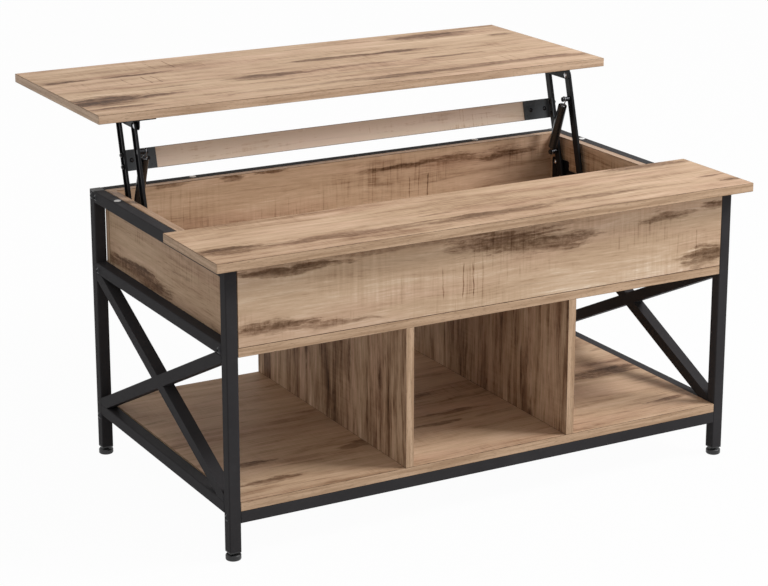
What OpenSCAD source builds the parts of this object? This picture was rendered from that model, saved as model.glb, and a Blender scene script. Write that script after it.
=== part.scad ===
// Height-adjustable coffee table, drawn with its rear top lifted.
// Millimetres. X runs along the table, Y from front to back, Z up from the floor.
// Sizes are laid out from the frame's front face. The finished model stands
// with its origin under the middle of the lifted shape.

/* [Tops] */
// Length of both tops
top_len = 1000; // [820:10:1300]
// Thickness of both tops
top_t = 15; // [12:1:25]
// Depth of the lifting top
lift_depth = 394; // [340:2:440]
// Gap between the two tops when closed
top_gap = 2; // [1:0.5:4]
// How far the tops reach past the frame at each end
side_overhang = 25; // [10:1:50]
// How far the fixed top reaches past the frame in front
front_overhang = 26; // [5:1:60]
// Radius of the tops' corners
top_corner = 2; // [1:0.5:6]

/* [Frame] */
// Depth of the frame over its posts
frame_depth = 540; // [500:5:620]
// Height of the frame, floor to rail top
frame_height = 478; // [450:2:540]
// Width of the square steel tube
tube = 20; // [18:1:25]
// Wall of the square tube
tube_wall = 1.5; // [1:0.1:2.5]
// Outer corner radius of the tube
tube_corner = 2; // [1:0.25:3]
// Underside of the low front and back rails
low_rail_z = 61; // [50:1:110]
// Underside of the low side rails
low_side_z = 75; // [50:1:120]
// Thickness of the welded end plates of the cross rails
rail_end_t = 2; // [1.5:0.5:4]

/* [Box and shelf] */
// Thickness of the box's walls and floor
panel_t = 15; // [12:1:18]
// Depth of the box, from the frame's top to the underside of the box's floor
box_depth = 146; // [136:1:180]
// Thickness of the shelf
shelf_t = 15; // [12:1:22]
// Thickness of the two dividers
divider_t = 15; // [12:1:22]

/* [Feet] */
// Height of the space that the feet take up under the posts
foot_h = 13; // [11:0.5:18]
// Diameter of a foot's pad
foot_d = 25; // [18:1:30]
// Height of a foot's pad
pad_h = 9.5; // [7:0.5:10]
// Rounding of the pad's edges
pad_round = 2.5; // [1:0.5:3]
// Diameter of a foot's threaded stem
stem_d = 8; // [6:1:10]
// Length of the stem above the pad
stem_len = 30; // [24:1:40]
// Flange of a tube plug
plug_flange = 2; // [1.5:0.5:3]
// Depth of a tube plug
plug_depth = 16; // [12:1:22]

/* [Lift] */
// Height of the lifted top above the frame
lift_rise = 137; // [120:1:150]
// How far the top moves to the back as it lifts
lift_back = 250; // [220:1:265]
// Arm length from pivot to pivot
arm_len = 207; // [200:1:225]
// Distance between the front and rear arms
arm_gap = 67; // [60:1:80]
// Width of an arm
arm_w = 16; // [14:0.5:18]
// Depth of an arm's folded channel
arm_depth = 5; // [4:0.25:5.5]
// Sheet that the arms are pressed from
arm_sheet = 2; // [1.5:0.25:2.5]
// Outer radius of the arms' pressed bends
arm_bend = 1.8; // [0.8:0.2:1.8]
// Gap between the base plates and the arms
arm_stand = 4; // [3:0.5:5]
// Front pivot's distance from the lifting top's front edge
pivot_inset = 17; // [15:1:30]
// Top pivots' distance below the lifting top
pivot_drop = 12.5; // [12:0.5:16]
// Sheet of the base plates and top brackets
plate_t = 2.5; // [2:0.25:3]
// Inner radius of the bends in both kinds of angle bracket
angle_bend = 1; // [0.5:0.25:1.5]
// Top brackets' reach below their pivots
bracket_below = 7; // [6:0.5:7]
// Width of the top bracket's screw flange
bracket_reach = 32; // [28:1:40]
// Base plate's reach in front of the front pivot
base_front = 28; // [24:1:40]
// Base plate's reach behind the rear pivot
base_back = 40; // [34:1:48]
// Gap between the base plate and the box's back
base_gap = 10.25; // [6:0.25:30]
// Base plate's reach below the pivots
base_below = 30; // [26:1:36]
// Base plate's height above the pivots at its back
base_above = 34; // [28:1:40]
// Diameter of the pivot rivets' necks
pivot_d = 8; // [6:0.5:9]
// Diameter of the pivot rivets' heads
rivet_head_d = 12; // [10:0.5:15]

/* [Crossbar] */
// Crossbar's height along the arms
bar_h = 36; // [30:1:42]
// Crossbar's thickness
bar_t = 15; // [12:1:18]
// Crossbar's middle, measured along the arm from its base pivot
bar_at = 134; // [126:1:150]
// Length of the crossbar brackets' long leg
bar_bracket_len = 58; // [50:1:80]
// Sheet of the crossbar brackets
bar_bracket_t = 2; // [1.5:0.25:2]

/* [Springs] */
// Rear stud's distance along the rear arm
rear_stud_at = 52; // [44:1:56]
// Front stud's distance along the front arm
front_stud_at = 163; // [158:1:170]
// Diameter of the spring wire
wire_d = 2.2; // [1.8:0.1:2.4]
// Rise of one turn
spring_pitch = 2.8; // [2.7:0.05:3.2]
// Radius of the coil at the wire's middle
coil_r = 4.5; // [4.3:0.1:4.8]
// Gap between the coil and its sleeve
sleeve_play = 1.3; // [0.3:0.1:1.4]
// Wall of the spring's sleeve
sleeve_wall = 1.2; // [0.8:0.1:1.4]
// Turns of the spring's lower end
tail_turns = 2; // [1:1:3]

/* [Bumpers] */
// Height of the clear bumper pads
bumper_h = 1.2; // [0.8:0.1:2]
// Diameter of the bumper pads
bumper_d = 12; // [8:1:16]

/* [Hidden] */
$fn = 48;

oak = [0.75, 0.63, 0.52];
black_steel = [0.16, 0.16, 0.18];
zinc = [0.62, 0.62, 0.63];
black_plastic = [0.1, 0.1, 0.1];
clear_plastic = [0.9, 0.9, 0.9];

// Small clearances
hole_play = 0.2;
pivot_play = 0.05;
side_play = 0.1;
moving_gap = 0.3;
plug_play = 0.4;
edge_r = 1;

// Frame
frame_w = top_len - 2 * side_overhang;
post_x = frame_w / 2 - tube / 2;
inner_x = frame_w / 2 - tube;
back_post_y = frame_depth - tube / 2;
rail_len = frame_depth - 2 * tube;
floor_z = frame_height - box_depth;
mid_rail_z = floor_z;
top_rail_z = frame_height - tube;
brace_low = low_side_z + tube;
brace_high = mid_rail_z;
tube_hollow = tube - 2 * tube_wall;

// Box and shelf
box_z = floor_z + panel_t;
box_h = frame_height - box_z;
back_panel_y = frame_depth - tube - panel_t;
end_x = inner_x - panel_t;
shelf_z = low_rail_z + tube;
divider_z = shelf_z + shelf_t;
divider_h = floor_z - divider_z;
bay_w = (2 * inner_x - 2 * divider_t) / 3;
divider_x = bay_w / 2 + divider_t / 2;

// Lift: the two end positions of the top fix the arms' swing, and the base
// plates stand against the box's back
closed_gap = bumper_h + side_play;
lift_z = frame_height + lift_rise;
top_travel_up = lift_rise - closed_gap;
travel = sqrt(pow(lift_back, 2) + pow(top_travel_up, 2));
swing = 2 * asin(travel / (2 * arm_len));
arm_angle = 90 + atan2(top_travel_up, lift_back) - swing / 2;
rear_pivot_y = back_panel_y - base_gap - base_back;
front_pivot_y = rear_pivot_y - arm_gap;
lift_front_y = front_pivot_y + arm_len * cos(arm_angle) - pivot_inset;
closed_front_y = lift_front_y - lift_back;
fixed_back_y = closed_front_y - top_gap;
fixed_depth = fixed_back_y + front_overhang;
base_pivot_z = lift_z - pivot_drop - arm_len * sin(arm_angle);
top_pivot_front = [lift_front_y + pivot_inset, lift_z - pivot_drop];

// The mechanism's layers, from the end panel inwards
plate_x = end_x - plate_t;
arm_x = plate_x - arm_stand - arm_depth;
web_x = arm_x + arm_sheet;
flange_gap = 0.5;
flange_x = arm_x - flange_gap - plate_t;
arm_fold = 1.8;
arm_pocket = arm_w / 2 - arm_fold;
rivet_head_h = 2;
shoulder_r = arm_pocket - 2 * hole_play;
tenon_d = 6;
peen_d = 9;
peen_h = 1.2;

// Crossbar and its brackets, in the rear arm's own frame
bar_bolt_n = -1.4;
bar_face_n = 3;
bar_leg_n = -7.5;
bar_bolt_step = 10;
bar_bolt_d = 5;
bar_bolt_head_r = 4;
bar_bolt_head_h = 1.6;
bar_nut_r = arm_pocket + bar_bolt_n - 0.2;
bar_nut_h = 5;
bar_socket = 3;
bar_socket_h = 1.2;
bar_screw_x = [13, 43];
bar_play = 1;

// Springs between the rear and front studs
stud_stand = 11.5;
spring_x = arm_x - stud_stand;
stud_neck_r = coil_r - wire_d / 2 - 2 * hole_play;
stud_head_r = 4.5;
stud_head_h = 1.8;
stud_groove = wire_d + 2;
stud_tenon_r = 2.5;
stud_tail_r = 4;
stud_tail_h = 1.2;
spring_dy = -arm_gap + (front_stud_at - rear_stud_at) * cos(arm_angle);
spring_dz = (front_stud_at - rear_stud_at) * sin(arm_angle);
spring_len = sqrt(pow(spring_dy, 2) + pow(spring_dz, 2));
spring_angle = atan2(spring_dz, spring_dy);
hook_neck = 6;
hook_rise = coil_r + hook_neck;
bend_r = 2;
ring_step = 45;
wire_sides = 6;
sleeve_r = coil_r + wire_d / 2 + sleeve_play;
tail_top = hook_rise + tail_turns * spring_pitch;
coil_room = spring_len - hook_rise - tail_top - spring_pitch;
coil_turns = floor(coil_room / spring_pitch);
coil_start = spring_len - hook_rise - coil_turns * spring_pitch;

// Screws and bolts
screw_d = 4;
screw_head_r = 4;
screw_head_h = 2;
screw_cross = 4.4;
screw_slot = 0.9;
screw_slot_h = 1.2;
screw_grip = 10;
confirmat_d = 5;
confirmat_head_r = 4;
confirmat_head_h = 3;
confirmat_len = 45;
bolt_d = 6;
bolt_head_r = 5.5;
bolt_head_h = 3;
bolt_grip = 11;
bolt_socket = 4;
top_bolt_inset = 30;
shelf_bolt_inset = 155;
end_screw_inset = 95;
divider_screw_inset = 80;
bumper_inset_y = 80;
bumper_inset_x = 168;

// Middle of the whole lifted shape, front to back
centre_y = (lift_front_y + lift_depth - front_overhang) / 2;

// Bolt places as [y, z] on the outer face of a side frame
post_bolts = [[tube / 2, low_rail_z + tube / 2],
    [back_post_y, low_rail_z + tube / 2],
    [back_post_y, top_rail_z + tube / 2]];

rail_bolt_y = [tube + panel_t / 2, frame_depth - tube - panel_t / 2];
floor_bolt_z = floor_z + panel_t / 2;
end_bolt_z = top_rail_z + tube / 2;

// Upright bolts as [x, y]
top_bolts = [for (s = [-1, 1], y = [tube + top_bolt_inset, fixed_back_y - top_bolt_inset])
    [s * post_x, y]];
shelf_bolts = [for (s = [-1, 1], y = [tube / 2, back_post_y]) [s * (inner_x - shelf_bolt_inset), y]];

// Long panel screws as [x, y]
front_screws = [for (k = [-3, -1, 1, 3]) [k * inner_x / 3.5, panel_t / 2]];
back_screws = [for (p = front_screws) [p[0], back_panel_y + panel_t / 2]];
end_screws = [for (s = [-1, 1], y = [panel_t + end_screw_inset, back_panel_y - end_screw_inset])
    [s * (end_x + panel_t / 2), y]];
divider_screws = [for (s = [-1, 1], y = [divider_screw_inset, frame_depth - divider_screw_inset])
    [s * divider_x, y]];

// Base plate, its stop lug along the rear arm and its screws as [y, z]
base_corner = 5;
base_step = 12;
lug_at = 12;
lug_len = 16;
base_screw_inset = 9;
base_low_z = base_pivot_z - base_below;
base_back_y = rear_pivot_y + base_back;
base_screws = [[front_pivot_y - base_front + base_screw_inset, base_low_z + base_screw_inset],
    [base_back_y - base_screw_inset, base_low_z + base_screw_inset],
    [base_back_y - base_screw_inset, base_pivot_z + base_above - base_screw_inset],
    [(front_pivot_y + rear_pivot_y) / 2, base_low_z + base_screw_inset]];

// Top bracket with its screws along Y, bumper places as [x, y]
bracket_end = 12.5;
bracket_len = arm_gap + 2 * bracket_end;
bracket_y = top_pivot_front[0] - bracket_end;
bracket_screw_y = [for (k = [0.14, 0.5, 0.86]) bracket_y + k * bracket_len];
bracket_screw_inset = 8;
bracket_screw_x = flange_x + plate_t - bracket_reach + bracket_screw_inset;
bumper_places = [for (s = [-1, 1]) [s * post_x, frame_depth - tube - bumper_inset_y],
    for (s = [-1, 1]) [s * (inner_x - bumper_inset_x), back_post_y]];

// Everything is laid out from the frame's front face and stands on its middle
module placed() {
    translate([0, -centre_y, 0]) children();
}

// Turns a flat outline drawn as [y, z] into a sheet that is thick along X
module lay_yz(x, t) {
    translate([x, 0, 0]) rotate([90, 0, 90]) linear_extrude(t) children();
}

module left_side() {
    mirror([1, 0, 0]) children();
}

module both_sides() {
    children();
    mirror([1, 0, 0]) children();
}

// Frame of the rear arm or front arm: X across, Y to its rear side, Z along it
module along_arm(pivot_y) {
    placed() translate([0, pivot_y, base_pivot_z]) rotate([arm_angle - 90, 0, 0]) children();
}

// Frame of a spring: Z runs from the rear stud to the front stud
module along_spring() {
    along_arm(rear_pivot_y) translate([spring_x, 0, rear_stud_at])
        rotate([spring_angle - arm_angle, 0, 0]) children();
}

module rounded_rect(w, d, r) {
    translate([r, 0]) square([w - 2 * r, d]);
    translate([0, r]) square([w, d - 2 * r]);
    for (x = [r, w - r], y = [r, d - r]) translate([x, y]) circle(r);
}

module x_cylinder(x, r, h, at) {
    translate([x, at[0], at[1]]) rotate([0, 90, 0]) cylinder(h = h, r = r);
}

// Low dome standing on z = 0
module dome(r, h) {
    ball = (r * r + h * h) / (2 * h);
    intersection() {
        translate([0, 0, h - ball]) sphere(ball);
        cylinder(h = h, r = r + 1);
    }
}

module tube_section() {
    difference() {
        translate([-tube / 2, -tube / 2]) rounded_rect(tube, tube, tube_corner);
        square(tube_hollow, center = true);
    }
}

// Board with its edges' corners eased, w along X, d along Y, lying on z = 0
module board(w, d, t) {
    linear_extrude(t) translate([-w / 2, 0]) rounded_rect(w, d, edge_r);
}

// Hexagon socket button bolt along -X, its head on the plane x = 0
module bolt(len) {
    rotate([0, 90, 0]) difference() {
        union() {
            dome(bolt_head_r, bolt_head_h);
            translate([0, 0, -len]) cylinder(h = len + 1, r = bolt_d / 2);
        }
        translate([0, 0, bolt_head_h - 2]) cylinder(h = 3, r = bolt_socket / sqrt(3), $fn = 6);
    }
}

module bolt_hole(len) {
    translate([-len, 0, 0]) rotate([0, 90, 0]) cylinder(h = len + 1, r = bolt_d / 2 + hole_play);
}

// Pan head screw along +Z, its head under the plane z = 0, with a cross recess
module pan_screw(len) {
    difference() {
        union() {
            rotate([180, 0, 0]) dome(screw_head_r, screw_head_h);
            cylinder(h = len, r = screw_d / 2);
        }
        for (a = [0, 90]) rotate(a)
            translate([-screw_cross / 2, -screw_slot / 2, screw_slot_h - screw_head_h - 2])
                cube([screw_cross, screw_slot, 2]);
    }
}

// Button head along +Z, standing on z = 0, with a hexagon recess
module socket_head(r, h) {
    difference() {
        dome(r, h);
        translate([0, 0, h - bar_socket_h]) cylinder(h = 2, r = bar_socket / sqrt(3), $fn = 6);
    }
}

// Bent sheet in plan: one leg along X, one along Y, its rounded bend at the corner
module bent_angle(a, b, t) {
    r = t + angle_bend;
    translate([r, 0]) square([a - r, t]);
    translate([0, r]) square([t, b - r]);
    intersection() {
        square(r);
        translate([r, r]) difference() {
            circle(r);
            circle(angle_bend);
        }
    }
}

module pan_screw_hole(len) {
    translate([0, 0, -1]) cylinder(h = len + 1, r = screw_d / 2 + hole_play / 2);
}

// Flat head panel screw along +Z, its head flush with the plane z = 0
module confirmat() {
    cylinder(h = confirmat_head_h, r = confirmat_head_r);
    cylinder(h = confirmat_len, r = confirmat_d / 2);
}

module confirmat_hole() {
    translate([0, 0, -1]) cylinder(h = confirmat_head_h + 1, r = confirmat_head_r + hole_play / 2);
    cylinder(h = confirmat_len + 1, r = confirmat_d / 2 + hole_play / 2);
}

module at_each(places, z) {
    for (p = places) translate([p[0], p[1], z]) children();
}

// Bolts through a side frame, seen from outside at the right-hand end
module side_bolts() {
    for (p = post_bolts) translate([frame_w / 2, p[0], p[1]]) children();
    for (y = rail_bolt_y, z = [floor_bolt_z, end_bolt_z]) translate([frame_w / 2, y, z]) children();
}

module side_bolt_holes() {
    side_bolts() bolt_hole(tube + bolt_grip + 1);
}

// Steel frame
module post(y) {
    color(black_steel) placed() difference() {
        translate([post_x, y, foot_h + plug_flange])
            linear_extrude(frame_height - foot_h - 2 * plug_flange) tube_section();
        side_bolt_holes();
    }
}

module post_front_left() {
    left_side() post(tube / 2);
}

module post_front_right() {
    post(tube / 2);
}

module post_back_left() {
    left_side() post(back_post_y);
}

module post_back_right() {
    post(back_post_y);
}

module side_rail(z) {
    color(black_steel) placed() difference() {
        translate([post_x, tube, z + tube / 2]) rotate([-90, 0, 0])
            linear_extrude(rail_len) tube_section();
        side_bolt_holes();
        at_each(top_bolts, top_rail_z - 1) cylinder(h = tube + 2, r = bolt_d / 2 + hole_play);
    }
}

module side_rail_top_left() {
    left_side() side_rail(top_rail_z);
}

module side_rail_top_right() {
    side_rail(top_rail_z);
}

module side_rail_mid_left() {
    left_side() side_rail(mid_rail_z);
}

module side_rail_mid_right() {
    side_rail(mid_rail_z);
}

module side_rail_low_left() {
    left_side() side_rail(low_side_z);
}

module side_rail_low_right() {
    side_rail(low_side_z);
}

// Diagonal band from corner to corner of the panel between the low and mid rails.
// rise is 1 for the band that climbs to the back and -1 for the one that falls.
module brace_band(w, rise) {
    long = rail_len * 2;
    tilt = atan2(brace_high - brace_low, rail_len);
    intersection() {
        translate([tube, brace_low]) square([rail_len, brace_high - brace_low]);
        translate([frame_depth / 2, (brace_low + brace_high) / 2])
            rotate(rise * tilt) square([long, w], center = true);
    }
}

module brace_tube() {
    difference() {
        lay_yz(post_x - tube / 2, tube) children(0);
        lay_yz(post_x - tube_hollow / 2, tube_hollow) children(1);
    }
}

module brace_long() {
    color(black_steel) placed() brace_tube() {
        brace_band(tube, -1);
        brace_band(tube_hollow, -1);
    }
}

module brace_long_left() {
    left_side() brace_long();
}

module brace_long_right() {
    brace_long();
}

module brace_halves() {
    color(black_steel) placed() both_sides() brace_tube() {
        difference() {
            brace_band(tube, 1);
            brace_band(tube, -1);
        }
        difference() {
            brace_band(tube_hollow, 1);
            brace_band(tube, -1);
        }
    }
}

// Rail along X between the side frames, closed by end plates that take the bolts
module cross_rail(y, z) {
    color(black_steel) placed() difference() {
        union() {
            translate([-inner_x, y, z + tube / 2]) rotate([90, 0, 90])
                linear_extrude(2 * inner_x) tube_section();
            both_sides() lay_yz(inner_x - rail_end_t, rail_end_t)
                translate([y, z + tube / 2]) square(tube_hollow + 1, center = true);
        }
        both_sides() side_bolt_holes();
        at_each(shelf_bolts, low_rail_z - 1) cylinder(h = tube + 2, r = bolt_d / 2 + hole_play);
    }
}

module rail_low_front() {
    cross_rail(tube / 2, low_rail_z);
}

module rail_low_back() {
    cross_rail(back_post_y, low_rail_z);
}

module rail_top_back() {
    cross_rail(back_post_y, top_rail_z);
}

// Square plug for a tube's end, its flange on z = 0 and its body upwards
module tube_plug() {
    body = tube_hollow - plug_play;
    linear_extrude(plug_flange) translate([-tube / 2, -tube / 2]) rounded_rect(tube, tube, tube_corner);
    translate([-body / 2, -body / 2, 0]) cube([body, body, plug_flange + plug_depth]);
}

module tube_plugs() {
    color(black_plastic) placed() both_sides() for (y = [tube / 2, back_post_y]) {
        translate([post_x, y, foot_h]) difference() {
            tube_plug();
            translate([0, 0, -1]) cylinder(h = plug_flange + plug_depth + 2, r = stem_d / 2 + pivot_play);
        }
        translate([post_x, y, frame_height - plug_depth - plug_flange]) difference() {
            translate([0, 0, plug_depth + plug_flange]) mirror([0, 0, 1]) tube_plug();
            translate([-post_x, -y, plug_depth + plug_flange - frame_height]) side_bolt_holes();
        }
    }
}

// Levelling foot: a turned pad with a threaded stem
module foot(y) {
    color(black_plastic) placed() translate([post_x, y, 0]) {
        rotate_extrude() intersection() {
            translate([-foot_d / 2, 0]) rounded_rect(foot_d, pad_h, pad_round);
            square(foot_d);
        }
        cylinder(h = pad_h + stem_len, r = stem_d / 2);
    }
}

module foot_front_left() {
    left_side() foot(tube / 2);
}

module foot_front_right() {
    foot(tube / 2);
}

module foot_back_left() {
    left_side() foot(back_post_y);
}

module foot_back_right() {
    foot(back_post_y);
}

// Box, shelf and tops
module box_floor() {
    color(oak) placed() difference() {
        translate([0, 0, floor_z]) board(2 * inner_x, frame_depth, panel_t);
        at_each(concat(front_screws, back_screws, end_screws), floor_z) confirmat_hole();
        at_each(divider_screws, box_z) mirror([0, 0, 1]) confirmat_hole();
        both_sides() side_bolt_holes();
    }
}

// Upright board that stands on the box's floor, from y to y + panel_t
module box_wall(y, places) {
    color(oak) placed() difference() {
        translate([0, y, box_z]) board(2 * inner_x, panel_t, box_h);
        at_each(places, floor_z) confirmat_hole();
        both_sides() side_bolt_holes();
    }
}

module box_front() {
    box_wall(0, front_screws);
}

module box_back() {
    box_wall(back_panel_y, back_screws);
}

module box_end() {
    color(oak) placed() difference() {
        translate([end_x, panel_t, box_z]) cube([panel_t, back_panel_y - panel_t, box_h]);
        at_each(end_screws, floor_z) confirmat_hole();
        side_bolt_holes();
        for (p = base_screws) base_screw_at(p) pan_screw_hole(plate_t + screw_grip + 1);
    }
}

module box_end_left() {
    left_side() box_end();
}

module box_end_right() {
    box_end();
}

module shelf() {
    color(oak) placed() difference() {
        translate([0, 0, shelf_z]) board(2 * inner_x, frame_depth, shelf_t);
        at_each(divider_screws, shelf_z) confirmat_hole();
        at_each(shelf_bolts, shelf_z - 1) cylinder(h = 1 + bolt_grip, r = bolt_d / 2 + hole_play);
    }
}

module divider() {
    color(oak) placed() difference() {
        translate([divider_x, 0, divider_z]) board(divider_t, frame_depth, divider_h);
        at_each(divider_screws, shelf_z) confirmat_hole();
        at_each(divider_screws, box_z) mirror([0, 0, 1]) confirmat_hole();
    }
}

module divider_left() {
    left_side() divider();
}

module divider_right() {
    divider();
}

// Table top with rounded corners, its front edge on y = 0
module top_board(depth) {
    linear_extrude(top_t) translate([-top_len / 2, 0]) rounded_rect(top_len, depth, top_corner);
}

module fixed_top() {
    color(oak) placed() difference() {
        translate([0, -front_overhang, frame_height]) top_board(fixed_depth);
        at_each(top_bolts, frame_height - 1) cylinder(h = 1 + bolt_grip, r = bolt_d / 2 + hole_play);
    }
}

module lift_top() {
    color(oak) placed() difference() {
        translate([0, lift_front_y, lift_z]) top_board(lift_depth);
        both_sides() for (y = bracket_screw_y) translate([bracket_screw_x, y, lift_z])
            pan_screw_hole(screw_grip);
    }
}

module frame_bolts() {
    color(black_steel) placed() {
        both_sides() side_bolts() bolt(tube + bolt_grip);
        at_each(top_bolts, top_rail_z) rotate([0, 90, 0]) bolt(tube + bolt_grip - 2);
        at_each(shelf_bolts, low_rail_z) rotate([0, 90, 0]) bolt(tube + bolt_grip - 2);
    }
}

module panel_screws() {
    color(zinc) placed() {
        at_each(concat(front_screws, back_screws, end_screws), floor_z) confirmat();
        at_each(divider_screws, box_z) mirror([0, 0, 1]) confirmat();
        at_each(divider_screws, shelf_z) confirmat();
    }
}

// Self-adhesive pads with a bevelled rim
module bumpers() {
    r = bumper_d / 2;
    color(clear_plastic) placed() at_each(bumper_places, frame_height) rotate_extrude()
        polygon([[0, 0], [r, 0], [r, bumper_h / 3], [r - bumper_h, bumper_h], [0, bumper_h]]);
}

// Base plate on the end panel, with the lug that stops the raised rear arm
module base_screw_at(p) {
    translate([plate_x, p[0], p[1]]) rotate([0, 90, 0]) children();
}

module base_outline() {
    low_w = base_front + arm_gap + base_back;
    translate([front_pivot_y - base_front, base_low_z])
        rounded_rect(low_w, base_below + base_above / 2, base_corner);
    translate([rear_pivot_y - base_step, base_low_z])
        rounded_rect(base_back + base_step, base_below + base_above, base_corner);
}

module base_plate() {
    color(black_steel) {
        placed() difference() {
            lay_yz(plate_x, plate_t) base_outline();
            for (y = [front_pivot_y, rear_pivot_y])
                x_cylinder(plate_x - 1, tenon_d / 2 + pivot_play, plate_t + 2, [y, base_pivot_z]);
            for (p = base_screws) base_screw_at(p) pan_screw_hole(plate_t + 1);
        }
        along_arm(rear_pivot_y) translate([arm_x, arm_w / 2 + moving_gap, lug_at])
            cube([plate_x - arm_x, plate_t, lug_len]);
    }
}

module base_plate_left() {
    left_side() base_plate();
}

module base_plate_right() {
    base_plate();
}

module base_plate_screws() {
    color(zinc) placed() both_sides() for (p = base_screws)
        base_screw_at(p) pan_screw(plate_t + screw_grip);
}

// Shouldered rivet along +X through an arm's eye: head, neck, shoulder and tenon
module base_pivot(at) {
    neck_x = arm_x - side_play;
    neck_end = web_x + side_play;
    translate([neck_x, at[0], at[1]]) rotate([0, -90, 0]) dome(rivet_head_d / 2, rivet_head_h);
    x_cylinder(neck_x, pivot_d / 2, neck_end - neck_x, at);
    x_cylinder(neck_end, shoulder_r, plate_x - neck_end, at);
    x_cylinder(neck_end, tenon_d / 2, end_x - neck_end, at);
}

module base_pivots() {
    color(zinc) placed() both_sides() for (y = [front_pivot_y, rear_pivot_y])
        base_pivot([y, base_pivot_z]);
}

// Half of an arm's section as [distance from the middle, height over the web's inner face]
module arm_half_section() {
    difference() {
        union() {
            square([arm_w / 2 - arm_bend, arm_depth]);
            translate([0, arm_bend]) square([arm_w / 2, arm_depth - arm_bend]);
            translate([arm_w / 2 - arm_bend, arm_bend]) circle(arm_bend);
        }
        translate([-1, arm_sheet]) square([1 + arm_pocket, arm_depth]);
    }
}

// Round end of an arm, the half section turned about the pivot
module arm_end(turn) {
    rotate([0, 90, 0]) rotate([0, 0, turn]) rotate_extrude(angle = 180) arm_half_section();
}

// Arm: a channel with pressed bends that closes round its eyes
module arm(stud_at) {
    difference() {
        translate([arm_x, 0, 0]) {
            linear_extrude(arm_len) for (k = [0, 1])
                mirror([0, k, 0]) mirror([1, -1, 0]) arm_half_section();
            arm_end(-90);
            translate([0, 0, arm_len]) arm_end(90);
        }
        for (s = [0, arm_len]) x_cylinder(arm_x - 1, pivot_d / 2 + pivot_play, arm_depth, [0, s]);
        x_cylinder(arm_x - 1, stud_tenon_r + pivot_play, arm_depth, [0, stud_at]);
    }
}

module bar_bolt_places(x) {
    for (k = [-1, 1]) translate([x, bar_bolt_n, bar_at + k * bar_bolt_step]) rotate([0, 90, 0]) children();
}

module rear_arm() {
    color(black_steel) along_arm(rear_pivot_y) difference() {
        arm(rear_stud_at);
        bar_bolt_places(arm_x - 1) cylinder(h = arm_depth, r = bar_bolt_d / 2 + hole_play / 2);
    }
}

module rear_arm_left() {
    left_side() rear_arm();
}

module rear_arm_right() {
    rear_arm();
}

module front_arm() {
    color(black_steel) along_arm(front_pivot_y) arm(front_stud_at);
}

module front_arm_left() {
    left_side() front_arm();
}

module front_arm_right() {
    front_arm();
}

// Grooved stud riveted to an arm's inner face, which a spring hook hangs on
module spring_stud(stud_at) {
    at = [0, stud_at];
    groove_x = spring_x - stud_groove / 2;
    x_cylinder(groove_x - stud_head_h, stud_head_r, stud_head_h, at);
    x_cylinder(groove_x, stud_neck_r, stud_groove, at);
    x_cylinder(groove_x + stud_groove, stud_head_r, arm_x - groove_x - stud_groove, at);
    x_cylinder(groove_x, stud_tenon_r, web_x + stud_tail_h - groove_x, at);
    x_cylinder(web_x, stud_tail_r, stud_tail_h, at);
}

module rear_studs() {
    color(black_steel) both_sides() along_arm(rear_pivot_y) spring_stud(rear_stud_at);
}

module front_stud_right() {
    color(black_steel) along_arm(front_pivot_y) spring_stud(front_stud_at);
}

module front_stud_left() {
    left_side() front_stud_right();
}

// Wooden bar that ties the two rear arms
module bar_screw_places(n) {
    for (dx = bar_screw_x) translate([arm_x - dx, n, bar_at]) rotate([-90, 0, 0]) children();
}

module crossbar() {
    bar_x = arm_x - bar_bracket_t - bar_play;
    color(oak) along_arm(rear_pivot_y) difference() {
        translate([-bar_x, bar_face_n + bar_bracket_t, bar_at - bar_h / 2]) rotate([90, 0, 90])
            linear_extrude(2 * bar_x) rounded_rect(bar_t, bar_h, edge_r);
        both_sides() bar_screw_places(bar_face_n) pan_screw_hole(bar_bracket_t + screw_grip);
    }
}

module crossbar_bracket() {
    back_n = bar_face_n + bar_bracket_t;
    color(black_steel) along_arm(rear_pivot_y) difference() {
        translate([arm_x, back_n, bar_at - bar_h / 2]) linear_extrude(bar_h)
            rotate(180) bent_angle(bar_bracket_len, back_n - bar_leg_n, bar_bracket_t);
        bar_screw_places(bar_face_n) pan_screw_hole(bar_bracket_t + 1);
        bar_bolt_places(arm_x - bar_bracket_t - 1)
            cylinder(h = bar_bracket_t + 2, r = bar_bolt_d / 2 + hole_play / 2);
    }
}

module crossbar_bracket_left() {
    left_side() crossbar_bracket();
}

module crossbar_bracket_right() {
    crossbar_bracket();
}

module bracket_bolts() {
    head_x = arm_x - bar_bracket_t;
    shank = bar_bracket_t + arm_sheet + bar_nut_h + 2;
    color(black_steel) both_sides() along_arm(rear_pivot_y) {
        bar_bolt_places(head_x) mirror([0, 0, 1]) socket_head(bar_bolt_head_r, bar_bolt_head_h);
        bar_bolt_places(head_x) cylinder(h = shank, r = bar_bolt_d / 2);
        bar_bolt_places(web_x) cylinder(h = bar_nut_h, r = bar_nut_r, $fn = 6);
    }
}

module crossbar_screws() {
    color(black_steel) both_sides() along_arm(rear_pivot_y) bar_screw_places(bar_face_n) {
        mirror([0, 0, 1]) socket_head(screw_head_r, screw_head_h);
        cylinder(h = bar_bracket_t + screw_grip - 1, r = screw_d / 2);
    }
}

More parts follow.
